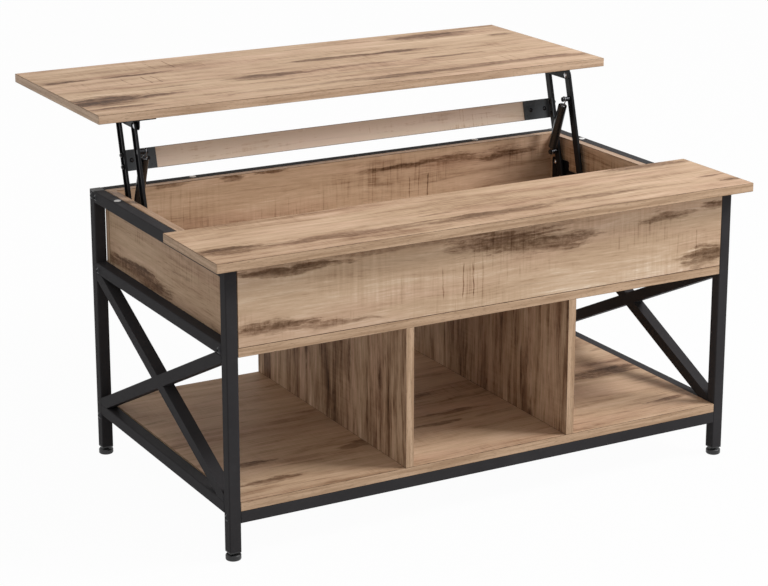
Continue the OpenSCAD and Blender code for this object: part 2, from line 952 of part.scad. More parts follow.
// Angle under the lifting top: a flange that hangs down inside the arms' eyes and one for the screws
module top_bracket() {
    flange_h = pivot_drop + bracket_below;
    leg_x = flange_x + plate_t - bracket_reach;
    color(black_steel) placed() difference() {
        intersection() {
            translate([flange_x + plate_t, bracket_y, lift_z]) rotate([-90, 180, 0])
                linear_extrude(bracket_len) mirror([0, 1, 0]) bent_angle(bracket_reach, flange_h, plate_t);
            lay_yz(leg_x - 1, bracket_reach + 2)
                translate([bracket_y, lift_z - flange_h]) bracket_side(flange_h);
        }
        for (k = [0, 1]) x_cylinder(flange_x - 1, tenon_d / 2 + pivot_play, plate_t + 2,
            [top_pivot_front[0] + k * arm_gap, top_pivot_front[1]]);
        for (y = bracket_screw_y) translate([bracket_screw_x, y, lift_z - plate_t])
            pan_screw_hole(plate_t + 1);
    }
}

// Side view of the hanging flange: square at the top, round at its lower corners
module bracket_side(h) {
    r = bracket_below + 1;
    translate([0, r]) square([bracket_len, h - r]);
    translate([r, 0]) square([bracket_len - 2 * r, h]);
    for (y = [r, bracket_len - r]) translate([y, r]) circle(r);
}

module top_bracket_left() {
    left_side() top_bracket();
}

module top_bracket_right() {
    top_bracket();
}

module top_bracket_screws() {
    color(zinc) placed() both_sides() for (y = bracket_screw_y)
        translate([bracket_screw_x, y, lift_z - plate_t]) pan_screw(plate_t + screw_grip - 1);
}

// Rivet along -X: head in the arm's channel, neck in its eye, tenon peened over the bracket
module top_pivot(at) {
    neck_x = web_x + side_play;
    flange_face = flange_x + plate_t;
    translate([neck_x, at[0], at[1]]) rotate([0, 90, 0]) dome(shoulder_r, rivet_head_h);
    x_cylinder(flange_face, pivot_d / 2, neck_x - flange_face, at);
    x_cylinder(flange_x, tenon_d / 2, plate_t + 1, at);
    translate([flange_x, at[0], at[1]]) rotate([0, -90, 0]) dome(peen_d / 2, peen_h);
}

module top_pivots() {
    color(zinc) placed() both_sides() for (k = [0, 1])
        top_pivot([top_pivot_front[0] + k * arm_gap, top_pivot_front[1]]);
}

// Springs. A wire's path starts at z = 0 of the coil, climbs its turns, bends
// upright and ends in an open eye whose middle is hook_rise above the coil.
function coil_points(turns) = [for (a = [0:ring_step:360 * turns - ring_step])
    [coil_r * cos(a - 90), coil_r * sin(a - 90), spring_pitch * a / 360]];

function bend_points(z) = [for (a = [0:30:90])
    [bend_r * (sin(a) - 1), -coil_r, z + bend_r * (1 - cos(a))]];

function eye_points(z) = [for (a = [180:-15:-75]) [0, coil_r * cos(a), z + coil_r * sin(a)]];

function hook_path(turns) = concat(coil_points(turns),
    bend_points(turns * spring_pitch), eye_points(turns * spring_pitch + hook_rise));

function unit(v) = v / norm(v);

function path_ways(path) = [for (i = [0:len(path) - 1])
    unit(path[min(i + 1, len(path) - 1)] - path[max(i - 1, 0)])];

// Sideways direction at each point, carried along the wire without twisting
function path_sides(ways) = [for (i = 0, side = unit(cross(ways[0], [0, 0, 1]));
    i < len(ways);
    i = i + 1, side = i < len(ways) ? unit(side - (side * ways[i]) * ways[i]) : side) side];

function wire_rings(path, ways, sides) = [for (i = [0:len(path) - 1], k = [0:wire_sides - 1])
    let (a = 360 * k / wire_sides)
    path[i] + wire_d / 2 * (cos(a) * sides[i] + sin(a) * cross(ways[i], sides[i]))];

function wire_faces(n) = concat(
    [for (k = [1:wire_sides - 2]) [0, k, k + 1]],
    [for (i = [0:n - 2], k = [0:wire_sides - 1])
        let (a = i * wire_sides + k, b = i * wire_sides + (k + 1) % wire_sides)
        [a, a + wire_sides, b]],
    [for (i = [0:n - 2], k = [0:wire_sides - 1])
        let (a = i * wire_sides + k, b = i * wire_sides + (k + 1) % wire_sides)
        [b, a + wire_sides, b + wire_sides]],
    [for (k = [1:wire_sides - 2])
        let (s = (n - 1) * wire_sides)
        [s, s + k + 1, s + k]]);

// Least distance between stretches of wire that are half a turn or more apart
function wire_gap(path) = min([for (i = [0:len(path) - 1], j = [i + 5:1:len(path) - 1])
    norm(path[i] - path[j])]) - wire_d;

module spring_wire(turns) {
    path = hook_path(turns);
    ways = path_ways(path);
    sides = path_sides(ways);
    echo(str("least gap of the wire to itself, mm: ", wire_gap(path)));
    polyhedron(wire_rings(path, ways, sides), wire_faces(len(path)));
}

module spring() {
    color(black_steel) along_spring() translate([0, 0, coil_start]) spring_wire(coil_turns);
}

module spring_left() {
    left_side() spring();
}

module spring_right() {
    spring();
}

// Lower end of the spring: its last turns and the hook on the rear stud
module spring_tail() {
    color(black_steel) along_spring() translate([0, 0, tail_top]) rotate([180, 0, 0])
        spring_wire(tail_turns);
}

module spring_tail_left() {
    left_side() spring_tail();
}

module spring_tail_right() {
    spring_tail();
}

module spring_sleeve() {
    low = hook_rise;
    high = spring_len - hook_rise - 2;
    color(black_plastic) along_spring() translate([0, 0, low]) difference() {
        union() {
            translate([0, 0, 1]) cylinder(h = high - low - 2, r = sleeve_r + sleeve_wall);
            cylinder(h = high - low, r = sleeve_r + sleeve_wall - 0.5);
        }
        translate([0, 0, -1]) cylinder(h = high - low + 2, r = sleeve_r);
    }
}

module spring_sleeve_left() {
    left_side() spring_sleeve();
}

module spring_sleeve_right() {
    spring_sleeve();
}

post_front_left();
post_front_right();
post_back_left();
post_back_right();
side_rail_top_left();
side_rail_top_right();
side_rail_mid_left();
side_rail_mid_right();
side_rail_low_left();
side_rail_low_right();
brace_long_left();
brace_long_right();
brace_halves();
rail_low_front();
rail_low_back();
rail_top_back();
tube_plugs();
foot_front_left();
foot_front_right();
foot_back_left();
foot_back_right();
box_floor();
box_front();
box_back();
box_end_left();
box_end_right();
shelf();
divider_left();
divider_right();
fixed_top();
lift_top();
frame_bolts();
panel_screws();
bumpers();
base_plate_left();
base_plate_right();
base_plate_screws();
base_pivots();
rear_arm_left();
rear_arm_right();
front_arm_left();
front_arm_right();
rear_studs();
front_stud_left();
front_stud_right();
crossbar();
crossbar_bracket_left();
crossbar_bracket_right();
bracket_bolts();
crossbar_screws();
top_bracket_left();
top_bracket_right();
top_bracket_screws();
top_pivots();
spring_left();
spring_right();
spring_tail_left();
spring_tail_right();
spring_sleeve_left();
spring_sleeve_right();
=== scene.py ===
"""Looks of a height-adjustable coffee table, dressed over its packed construction."""

import logging
import math
from dataclasses import dataclass, field
from enum import Enum
from typing import ClassVar, Iterable, Sequence

import bmesh
import bpy
from mathutils import Matrix, Vector


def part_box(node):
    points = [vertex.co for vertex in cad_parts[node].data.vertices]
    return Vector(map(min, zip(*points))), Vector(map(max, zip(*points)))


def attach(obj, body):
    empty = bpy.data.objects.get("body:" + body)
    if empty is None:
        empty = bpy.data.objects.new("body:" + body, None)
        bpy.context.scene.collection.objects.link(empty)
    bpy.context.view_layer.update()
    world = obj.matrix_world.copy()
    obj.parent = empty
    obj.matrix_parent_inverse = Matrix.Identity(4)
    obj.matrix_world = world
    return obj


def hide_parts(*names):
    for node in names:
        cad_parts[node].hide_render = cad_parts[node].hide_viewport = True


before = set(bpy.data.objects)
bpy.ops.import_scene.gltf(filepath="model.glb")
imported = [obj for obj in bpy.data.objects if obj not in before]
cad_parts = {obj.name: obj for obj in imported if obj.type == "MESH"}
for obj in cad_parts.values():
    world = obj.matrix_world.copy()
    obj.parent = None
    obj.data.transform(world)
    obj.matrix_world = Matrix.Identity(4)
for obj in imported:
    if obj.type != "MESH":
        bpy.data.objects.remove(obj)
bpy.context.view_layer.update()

LOG = logging.getLogger("coffee_table")
MM = 0.001
# The table's middle, measured back from the frame's front face, in metres
ORIGIN_Y = 0.3960004
# The rear arms' lower pivot, back from the frame's front face and up, in mm
REAR_PIVOT = (454.75, 402.46664)
# How steep the lifted arms stand, in degrees from level
ARM_ANGLE = 75.09302
# The boards' own UV map, in metres along and across the grain
BOARD_UV = "board"

Colour = tuple[float, float, float, float]
Point = tuple[float, float, float]
Socket = bpy.types.NodeSocket
Sockets = bpy.types.bpy_prop_collection
Feeds = dict[str | int, object]
Corner = bmesh.types.BMVert

WHITE: Colour = (1.0, 1.0, 1.0, 1.0)


def rgb(*channels: int) -> Colour:
    """Gives the linear colour of an 8-bit sRGB one.

    Args:
        *channels: Red, green and blue, 0 to 255.

    Returns:
        The linear colour with full alpha.
    """
    shares = [value / 255 for value in channels]
    linear = [s / 12.92 if s <= 0.04045 else ((s + 0.055) / 1.055) ** 2.4 for s in shares]
    return (*linear, 1.0)


def at(x: float, y: float, z: float) -> Vector:
    """Gives a point laid out in mm from the frame's front face, in metres in the model's frame."""
    return Vector((x * MM, y * MM - ORIGIN_Y, z * MM))


class Nodes:
    """Builds a node tree with few words."""

    # Sockets of the Mix node when it mixes colours
    MIX_FIRST, MIX_SECOND, MIX_RESULT = 6, 7, 2

    def __init__(self, tree: bpy.types.NodeTree) -> None:
        """Keeps the tree that the nodes go to."""
        self.tree = tree

    def feed(self, socket: Socket, value: object) -> None:
        """Links an output to a socket, or sets its value.

        Args:
            socket: The input.
            value: An output socket or a constant.
        """
        if isinstance(value, Socket):
            self.tree.links.new(value, socket)
        else:
            socket.default_value = value

    def add(self, kind: str, feeds: Feeds | None = None, **settings: object) -> bpy.types.Node:
        """Adds a node.

        Args:
            kind: The node's type.
            feeds: Sockets or constants by the input's name or number.
            **settings: Properties to set on it.

        Returns:
            The new node.
        """
        node = self.tree.nodes.new(kind)
        for key, value in settings.items():
            setattr(node, key, value)
        for key, value in (feeds or {}).items():
            self.feed(node.inputs[key], value)
        return node

    def out(self, kind: str, feeds: Feeds | None = None, **settings: object) -> Socket:
        """Adds a node and gives its first output."""
        return self.add(kind, feeds, **settings).outputs[0]

    def maths(self, operation: str, *values: object, clamp: bool = False) -> Socket:
        """Adds a Math node on the values, its result kept from 0 to 1 where clamped."""
        return self.out("ShaderNodeMath", dict(enumerate(values)), operation=operation, use_clamp=clamp)

    def vector(self, operation: str, *values: object) -> Socket:
        """Adds a Vector Math node on the values."""
        return self.out("ShaderNodeVectorMath", dict(enumerate(values)), operation=operation)

    def total(self, start: object, *terms: tuple[object, object]) -> Socket:
        """Adds terms to a start.

        Args:
            start: What they are added to.
            *terms: Each term's value and weight.

        Returns:
            The sum.
        """
        for value, weight in terms:
            start = self.maths("MULTIPLY_ADD", value, weight, start)
        return start

    def product(self, first: Socket, *others: object) -> Socket:
        """Multiplies values.

        Args:
            first: The first value.
            *others: Those that it is multiplied by.

        Returns:
            The product.
        """
        for value in others:
            first = self.maths("MULTIPLY", first, value)
        return first

    def axis(self, vector: Socket, name: str) -> Socket:
        """Gives one axis of a vector."""
        return self.add("ShaderNodeSeparateXYZ", {0: vector}).outputs[name]

    def noise(self, place: Socket, grains: Sequence[float], octaves: float, keeps: float,
              colour: bool = False) -> Socket:
        """Adds a noise texture.

        Args:
            place: Where it is read, in metres.
            grains: Grains a metre along each axis, 1 where not given.
            octaves: Layers of finer and finer noise.
            keeps: Share that each octave keeps of the one before.
            colour: Whether the three-channel output is wanted.

        Returns:
            The noise.
        """
        scaled = self.vector("MULTIPLY", place, (*grains, 1.0)[:3])
        node = self.add("ShaderNodeTexNoise", {"Vector": scaled, "Scale": 1.0, "Detail": octaves,
                                               "Roughness": keeps})
        return node.outputs["Color" if colour else 0]

    def sway(self, place: Socket, grains: Sequence[float], octaves: float, keeps: float,
             reach: Point) -> Socket:
        """Draws a wandering offset from a noise, as long on each axis as its reach in metres."""
        drift = self.noise(place, grains, octaves, keeps, colour=True)
        return self.vector("MULTIPLY", self.vector("SUBTRACT", drift, (0.5, 0.5, 0.5)), reach)

    def step(self, value: Socket, low: float, high: float) -> Socket:
        """Adds a smooth step from 0 at low to 1 at high, falling where low is the greater."""
        return self.out("ShaderNodeMapRange", {0: value, 1: low, 2: high}, interpolation_type="SMOOTHSTEP")

    def mix(self, share: object, first: object, second: object, blend: str = "MIX") -> Socket:
        """Mixes two colours.

        Args:
            share: Share of the second.
            first: First colour.
            second: Second colour.
            blend: How they are mixed.

        Returns:
            The colour.
        """
        node = self.add("ShaderNodeMix", {0: share, self.MIX_FIRST: first, self.MIX_SECOND: second},
                        data_type="RGBA", blend_type=blend)
        return node.outputs[self.MIX_RESULT]

    def shaders(self, share: object, first: Socket, second: Socket) -> Socket:
        """Mixes two shaders by the share of the second."""
        return self.out("ShaderNodeMixShader", {0: share, 1: first, 2: second})

    def group(self, name: str, **feeds: object) -> Sockets:
        """Places a shared effect, fed by input name, and gives its outputs."""
        return self.add("ShaderNodeGroup", feeds, node_tree=bpy.data.node_groups[name]).outputs

    def board_uv(self) -> Socket:
        """Gives metres along and across a board's grain."""
        return self.out("ShaderNodeUVMap", uv_map=BOARD_UV)

    def object_place(self) -> Socket:
        """Gives the place on the object, in metres."""
        return self.add("ShaderNodeTexCoord").outputs["Object"]

    def bump(self, height: Socket, depth: float) -> Socket:
        """Turns a height into a normal, where a height of 1 stands for a depth in metres."""
        return self.out("ShaderNodeBump", {"Height": height, "Distance": depth, "Strength": 1.0})


class Effect:
    """A shader node group that materials share."""

    # Kinds of the outputs that are not plain numbers
    KINDS: ClassVar[dict[str, str]] = {"Vector": "Vector", "Color": "Color"}

    def __init__(self, name: str, vectors: Iterable[str], numbers: dict[str, float],
                 colours: Iterable[str] = ()) -> None:
        """Makes the group with its inputs.

        Args:
            name: The group's name.
            vectors: Its vector inputs.
            numbers: Its number inputs and what they start at.
            colours: Its colour inputs.
        """
        self.tree = bpy.data.node_groups.new(name, "ShaderNodeTree")
        for kind, labels in (("Vector", vectors), ("Color", colours), ("Float", numbers)):
            for label in labels:
                socket = self.tree.interface.new_socket(name=label, in_out="INPUT",
                                                        socket_type="NodeSocket" + kind)
                if label in numbers:
                    socket.default_value = numbers[label]
        self.nodes = Nodes(self.tree)
        self.given = self.nodes.add("NodeGroupInput").outputs

    def end(self, **results: Socket) -> None:
        """Ends the group.

        Args:
            **results: What it puts out, by name.
        """
        for label in results:
            self.tree.interface.new_socket(name=label, in_out="OUTPUT",
                                           socket_type="NodeSocket" + self.KINDS.get(label, "Float"))
        self.nodes.add("NodeGroupOutput", results)


def build_ragged() -> None:
    """Builds the group that frays the outlines of smudges along the grain."""
    effect = Effect("ragged_edges", ("Vector",), {})
    nodes, place = effect.nodes, effect.given["Vector"]
    wide = nodes.sway(place, (9.0, 30.0), 3.0, 0.6, (0.10, 0.030, 0.0))
    narrow = nodes.sway(place, (60.0, 260.0), 3.0, 0.65, (0.045, 0.007, 0.0))
    moved = nodes.vector("ADD", place, nodes.vector("ADD", wide, narrow))
    brushed = nodes.noise(moved, (8.0, 210.0), 4.0, 0.62)
    spotted = nodes.noise(place, (45.0, 150.0), 3.0, 0.6)
    # Half of both weights is taken off, so that the fray goes both ways
    both = nodes.total(nodes.product(brushed, 1.6), (spotted, 0.6))
    effect.end(Vector=moved, Fray=nodes.maths("SUBTRACT", both, 1.1))


def start_mark(name: str, **numbers: float) -> tuple[Effect, Socket, Socket]:
    """Starts an effect that adds a mark of the print to a mask.

    Args:
        name: The effect's name.
        **numbers: Its own number inputs and what they start at.

    Returns:
        The effect, the offset from the mark's centre in metres, and the same as a share of its radii.
    """
    effect = Effect(name, ("Vector", "Centre", "Radii"), {"Amount": 1.0, "Mask": 0.0, **numbers})
    given = effect.given
    offset = effect.nodes.vector("SUBTRACT", given["Vector"], given["Centre"])
    return effect, offset, effect.nodes.vector("DIVIDE", offset, given["Radii"])


def build_smudge() -> None:
    """Builds the group that adds one dark smudge to a mask, darkest along its far edge."""
    effect, _, share = start_mark("smudge", Fray=0.0)
    nodes, given = effect.nodes, effect.given
    far = nodes.add("ShaderNodeVectorMath", {0: share}, operation="LENGTH").outputs["Value"]
    frayed = nodes.maths("SUBTRACT", far, given["Fray"])
    # The print is 0.84 as strong in a smudge's middle and grows to full strength at the far edge
    upper = nodes.maths("MULTIPLY_ADD", nodes.axis(share, "Y"), 0.30, 0.84, clamp=True)
    # It fades from half the radii to a little beyond them
    spot =nodes.product(nodes.step(frayed, 1.14, 0.50), nodes.product(upper, given["Amount"]))
    effect.end(Mask=nodes.maths("MAXIMUM", spot, given["Mask"]))


def build_ticks() -> None:
    """Builds the group that adds one row of saw ticks, across the grain, to a mask."""
    effect, offset, share = start_mark("saw_ticks", Spacing=19 * MM)
    nodes, given = effect.nodes, effect.given
    count = nodes.maths("DIVIDE", nodes.axis(offset, "X"), given["Spacing"])
    # A tick wanders by up to 0.45 of the spacing, and each has its own strength
    count = nodes.total(count, (nodes.noise(given["Vector"], (40.0, 24.0), 2.0, 0.6), 0.45))
    chance =nodes.out("ShaderNodeTexWhiteNoise", {"W": nodes.maths("FLOOR", count)},
                       noise_dimensions="1D")
    off = nodes.maths("ABSOLUTE", nodes.maths("SUBTRACT", nodes.maths("FRACT", count), 0.5))
    # The darker a tick, the longer it is
    across =nodes.total(nodes.maths("ABSOLUTE", nodes.axis(share, "Y")), (chance, -0.45))
    along = nodes.maths("ABSOLUTE", nodes.axis(share, "X"))
    line = nodes.product(nodes.step(off, 0.075, 0.02), chance, nodes.step(across, 0.72, 0.40),
                         nodes.step(along, 1.0, 0.9), given["Amount"])
    effect.end(Mask=nodes.maths("MAXIMUM", line, given["Mask"]))


@dataclass(frozen=True)
class Grain:
    """A noise of the print, in grains a metre, with a smooth step on it where it has one."""

    along: float
    across: float
    octaves: float
    keeps: float
    low: float | None = None
    high: float = 1.0

    def draw(self, nodes: Nodes, place: Socket) -> Socket:
        """Draws the noise at a place."""
        noise = nodes.noise(place, (self.along, self.across), self.octaves, self.keeps)
        return noise if self.low is None else nodes.step(noise, self.low, self.high)


# Noises that bend with the grain of the print
BENT = {"broad": Grain(1.6, 11.0, 3.0, 0.55), "streak": Grain(3.6, 62.0, 5.0, 0.62),
        "brushed": Grain(7.0, 180.0, 5.0, 0.66), "fibre": Grain(26.0, 820.0, 2.0, 0.6),
        "flecks": Grain(19.0, 360.0, 3.0, 0.65), "pores": Grain(70.0, 1100.0, 2.0, 0.6, 0.60, 0.70),
        "blotch": Grain(5.5, 30.0, 5.0, 0.62, 0.57, 0.72), "thin": Grain(4.5, 120.0, 4.0, 0.6, 0.60, 0.74),
        "hue": Grain(2.4, 16.0, 3.0, 0.6, 0.42, 0.66)}
# Noises that run straight across the board, as a saw does
STRAIGHT = {"saw": Grain(260.0, 13.0, 2.0, 0.5, 0.52, 0.70), "sawn": Grain(5.0, 11.0, 2.0, 0.5, 0.50, 0.62),
            "comb": Grain(130.0, 7.0, 4.0, 0.65), "combed": Grain(3.5, 9.0, 2.0, 0.5, 0.42, 0.62),
            "soft": Grain(12.0, 40.0, 4.0, 0.65), "mottled": Grain(85.0, 120.0, 3.0, 0.7)}
# Weights of the noises in the tone's swing, in a smudge's texture, in the tone and in the relief
SWING = {"broad": 0.58, "streak": 0.58, "brushed": 0.34, "fibre": 0.22, "soft": 0.34}
INK = {"soft": 0.9, "brushed": 2.5, "scored": 0.6, "mottled": 1.5}
TONE = {"textured": -0.42, "marks": -0.17, "ticks": -0.40, "pores": -0.06, "dark_flecks": -0.12,
        "pale_flecks": 0.10}
RELIEF = {"brushed": 0.5, "pores": -0.7, "marks": -0.5}
INK_START, COMB_WEIGHT, TONE_START = -1.56, 0.42, 0.61
# The print's colours from its darkest tone to its palest; the palest stop, at 1.0, is there mainly for the
# crossbar's raised tone, which is painted light
TONES = ((0.02, rgb(56, 40, 30)), (0.20, rgb(103, 77, 56)), (0.38, rgb(152, 122, 96)),
         (0.56, rgb(189, 161, 133)), (0.74, rgb(206, 179, 151)), (0.88, rgb(220, 197, 171)),
         (1.0, rgb(240, 224, 205)))
YELLOWER, REDDER = (1.01, 0.98, 0.965, 1.0), (1.03, 0.966, 0.98, 1.0)
DARK_BROWN, BROWN = rgb(62, 42, 28), rgb(90, 63, 43)


def build_board_print() -> None:
    """Builds the group that draws the greige oak print of the boards, grain along X."""
    effect = Effect("board_print", ("Vector",), {
        "Smudges": 0.0, "Ticks": 0.0, "Clouds": 0.5, "Saw": 0.5, "Streaks": 0.5, "Tone": 0.0,
        "Contrast": 1.0})
    nodes, given = effect.nodes, effect.given
    place = given["Vector"]
    bent = nodes.vector("ADD", place, nodes.sway(place, (2.2, 7.0), 2.0, 0.5, (0.0, 0.035, 0.0)))
    layer = {name: grain.draw(nodes, bent) for name, grain in BENT.items()}
    layer |= {name: grain.draw(nodes, place) for name, grain in STRAIGHT.items()}

    def weighed(start: object, weights: dict[str, float]) -> Socket:
        """Adds weighed layers to a start."""
        return nodes.total(start, *((layer[name], weight) for name, weight in weights.items()))

    comb = nodes.maths("SUBTRACT", layer["comb"], 0.5)
    layer["scored"] = nodes.product(comb, given["Saw"])
    layer["marks"] = nodes.product(layer["saw"], layer["sawn"], given["Saw"])
    layer["ticks"] = given["Ticks"]
    layer["dark_flecks"] = nodes.step(layer["flecks"], 0.56, 0.68)
    layer["pale_flecks"] = nodes.step(layer["flecks"], 0.44, 0.32)
    patch = nodes.maths("MAXIMUM", given["Smudges"], nodes.product(layer["blotch"], given["Clouds"]))
    patch = nodes.maths("MAXIMUM", patch, nodes.product(layer["thin"], given["Streaks"]))
    textured = nodes.maths("MULTIPLY", patch, weighed(INK_START, INK), clamp=True)
    layer["textured"] = textured

    swing = weighed(-0.5 * sum(SWING.values()), SWING)
    swing = nodes.total(swing, (comb, nodes.product(layer["combed"], given["Saw"], COMB_WEIGHT)))
    level = nodes.maths("ADD", given["Tone"], TONE_START)
    ramp = nodes.add("ShaderNodeValToRGB", {
        0: weighed(nodes.total(level, (swing, given["Contrast"])), TONE)})
    elements = ramp.color_ramp.elements
    elements.remove(elements[1])
    for index, (position, colour) in enumerate(TONES):
        element = elements[0] if index == 0 else elements.new(position)
        element.position, element.color = position, colour
    tinted = nodes.mix(layer["hue"], YELLOWER, REDDER)
    coloured = nodes.mix(1.0, ramp.outputs[0], tinted, "MULTIPLY")
    dark = nodes.mix(nodes.step(layer["streak"], 0.35, 0.65), DARK_BROWN, BROWN)
    effect.end(Color=nodes.mix(nodes.product(textured, 0.65), coloured, dark),
               Height=weighed(layer["fibre"], RELIEF),
               Roughness=nodes.total(0.42, (layer["fibre"], 0.22)))


def build_coat() -> None:
    """Builds the group that gives a coat its uneven tone, fine dust and skin."""
    effect = Effect("coat_skin", ("Vector",), {"Dusting": 0.3, "Grain": 1.0}, ("Base", "Dust"))
    nodes, given = effect.nodes, effect.given
    place = given["Vector"]
    fine = nodes.out("ShaderNodeVectorMath", {0: place, "Scale": given["Grain"]}, operation="SCALE")
    peel = nodes.noise(fine, [900.0] * 3, 2.0, 0.55)
    specks = nodes.step(nodes.noise(fine, [2600.0] * 3, 1.0, 0.5), 0.60, 0.72)
    cloudy = nodes.noise(place, [14.0] * 3, 4.0, 0.6)
    rubbed = nodes.step(nodes.noise(place, (55.0, 55.0, 90.0), 4.0, 0.65), 0.52, 0.78)
    dusty = nodes.maths("MULTIPLY", nodes.total(rubbed, (specks, 0.35)), given["Dusting"], clamp=True)
    # The tone of the coat goes up and down by 0.22 of itself
    toned =nodes.mix(cloudy, (0.78, 0.78, 0.78, 1.0), (1.22, 1.22, 1.22, 1.0))
    base = nodes.mix(1.0, given["Base"], toned, "MULTIPLY")
    effect.end(Color=nodes.mix(dusty, base, given["Dust"]), Height=nodes.total(peel, (specks, 0.35)),
               Roughness=nodes.total(nodes.product(cloudy, 0.12), (rubbed, 0.16)))


EFFECTS = (build_ragged, build_smudge, build_ticks, build_board_print, build_coat)


class Slot(Enum):
    """Names of the record's material slots for the pieces made here; they are passed along but not assigned.
    """

    BOARD = "printed_board"
    FRAME = "frame_coat"
    ZINC = "plated_steel"
    SPRING = "spring_wire"
    PAD = "clear_pad"


@dataclass(frozen=True)
class Finish:
    """A finish that is made once and then shared."""

    name: str
    made: ClassVar[dict[str, bpy.types.Material]] = {}

    def material(self) -> bpy.types.Material:
        """Gives the material, built on first use.

        Returns:
            The material.
        """
        if self.name not in Finish.made:
            material = bpy.data.materials.new(self.name)
            material.use_nodes = True
            nodes = Nodes(material.node_tree)
            shader = material.node_tree.nodes["Principled BSDF"]
            for label, value in self.surface(nodes).items():
                nodes.feed(shader.inputs[label], value)
            Finish.made[self.name] = material
        return Finish.made[self.name]

    def surface(self, nodes: Nodes) -> Feeds:
        """Draws the surface and gives what feeds the shader, by input. Each finish has its own."""
        raise NotImplementedError


@dataclass(frozen=True)
class Mark:
    """A smudge or a row of saw ticks, in metres along and across the grain."""

    along: float
    across: float
    half_length: float
    half_width: float
    amount: float

    def feeds(self) -> Feeds:
        """Gives the inputs of the effect that draws it."""
        return {"Centre": (self.along, self.across, 0.0), "Amount": self.amount,
                "Radii": (self.half_length, self.half_width, 1.0)}


def marks(*rows: tuple[float, ...], back: float | None = None) -> tuple[Mark, ...]:
    """Makes marks from rows in mm, their second number counted from the back edge where it is given."""
    return tuple(Mark(a * MM, (b if back is None else back - b) * MM, c * MM, d * MM, e)
                 for a, b, c, d, e in rows)


@dataclass(frozen=True)
class BoardPrint(Finish):
    """Greige oak print on a board's faces, read from the board's own UV map."""

    SHEEN: ClassVar[float] = 0.07
    DEPTH: ClassVar[float] = 0.12 * MM

    smudges: tuple[Mark, ...]
    clouds: float
    saw: float
    streaks: float
    tone: float
    shift: tuple[float, float]
    contrast: float = 1.0
    ticks: tuple[Mark, ...] = ()

    def surface(self, nodes: Nodes) -> Feeds:
        """Draws the print with its own smudges.

        Args:
            nodes: The material's builder.

        Returns:
            What feeds the shader, by input.
        """
        uv = nodes.board_uv()
        ragged = nodes.group("ragged_edges", Vector=uv)
        smudged: object = 0.0
        for spot in self.smudges:
            smudged = nodes.group("smudge", Vector=ragged["Vector"], Fray=ragged["Fray"], Mask=smudged,
                                  **spot.feeds())[0]
        sawn: object = 0.0
        for row in self.ticks:
            sawn = nodes.group("saw_ticks", Vector=uv, Mask=sawn, **row.feeds())[0]
        moved = nodes.vector("ADD", uv, (*self.shift, 0.0))
        drawn = nodes.group("board_print", Vector=moved, Smudges=smudged, Ticks=sawn, Clouds=self.clouds,
                            Saw=self.saw, Streaks=self.streaks, Tone=self.tone, Contrast=self.contrast)
        return {"Base Color": drawn["Color"], "Roughness": drawn["Roughness"],
                "Specular IOR Level": self.SHEEN, "Normal": nodes.bump(drawn["Height"], self.DEPTH)}


@dataclass(frozen=True)
class EdgeBand(Finish):
    """Warm tan edge band with fine flecks along it."""

    SHEEN: ClassVar[float] = 0.12
    DEPTH: ClassVar[float] = 0.08 * MM

    pale: Colour = rgb(202, 171, 142)
    warm: Colour = rgb(172, 141, 113)
    fleck: Colour = rgb(116, 90, 70)

    def surface(self, nodes: Nodes) -> Feeds:
        """Draws the band.

        Args:
            nodes: The material's builder.

        Returns:
            What feeds the shader, by input.
        """
        uv = nodes.board_uv()
        long = nodes.noise(uv, (7.0, 160.0), 3.0, 0.6)
        flecks = nodes.step(nodes.noise(uv, (90.0, 900.0), 2.0, 0.6), 0.56, 0.70)
        base = nodes.mix(nodes.step(long, 0.36, 0.66), self.pale, self.warm)
        return {"Base Color": nodes.mix(nodes.product(flecks, 0.6), base, self.fleck),
                "Roughness": nodes.total(0.42, (flecks, 0.1)), "Specular IOR Level": self.SHEEN,
                "Normal": nodes.bump(nodes.total(long, (flecks, -0.5)), self.DEPTH)}


@dataclass(frozen=True)
class GlueLine(Finish):
    """Thin dark line where a band is trimmed to the face."""

    dark: Colour = rgb(74, 56, 43)
    pale: Colour = rgb(132, 105, 82)

    def surface(self, nodes: Nodes) -> Feeds:
        """Draws the broken line.

        Args:
            nodes: The material's builder.

        Returns:
            What feeds the shader, by input.
        """
        broken = nodes.step(nodes.noise(nodes.board_uv(), (60.0, 60.0), 3.0, 0.6), 0.35, 0.60)
        return {"Base Color": nodes.mix(broken, self.dark, self.pale), "Roughness": 0.6,
                "Specular IOR Level": 0.1}


@dataclass(frozen=True)
class Coat(Finish):
    """A painted, plated or moulded skin on Object coordinates."""

    # Middle of what the skin itself adds to the roughness
    SKIN: ClassVar[float] = 0.08

    base: Colour
    dust: Colour
    roughness: float
    dusting: float
    grain: float = 1.0
    depth: float = 0.02 * MM
    metallic: float = 0.0
    specular: float = 0.5

    def surface(self, nodes: Nodes) -> Feeds:
        """Draws the coat.

        Args:
            nodes: The material's builder.

        Returns:
            What feeds the shader, by input.
        """
        skin = nodes.group("coat_skin", Vector=nodes.object_place(), Base=self.base, Dust=self.dust,
                           Dusting=self.dusting, Grain=self.grain)
        return {"Base Color": skin["Color"],
                "Roughness": nodes.maths("ADD", skin["Roughness"], self.roughness - self.SKIN),
                "Metallic": self.metallic, "Specular IOR Level": self.specular,
                "Normal": nodes.bump(skin["Height"], self.depth)}


@dataclass(frozen=True)
class ClearPad(Finish):
    """Soft clear plastic of the bumper pads, milky from its adhesive back."""

    def surface(self, nodes: Nodes) -> Feeds:
        """Draws the milky plastic.

        Args:
            nodes: The material's builder.

        Returns:
            What feeds the shader, by input.
        """
        milk = nodes.noise(nodes.object_place(), [240.0] * 3, 3.0, 0.6)
        return {"Base Color": nodes.mix(milk, rgb(232, 232, 230), rgb(250, 250, 250)),
                "Roughness": nodes.total(0.10, (milk, 0.14)), "Transmission Weight": 0.06, "IOR": 1.45}


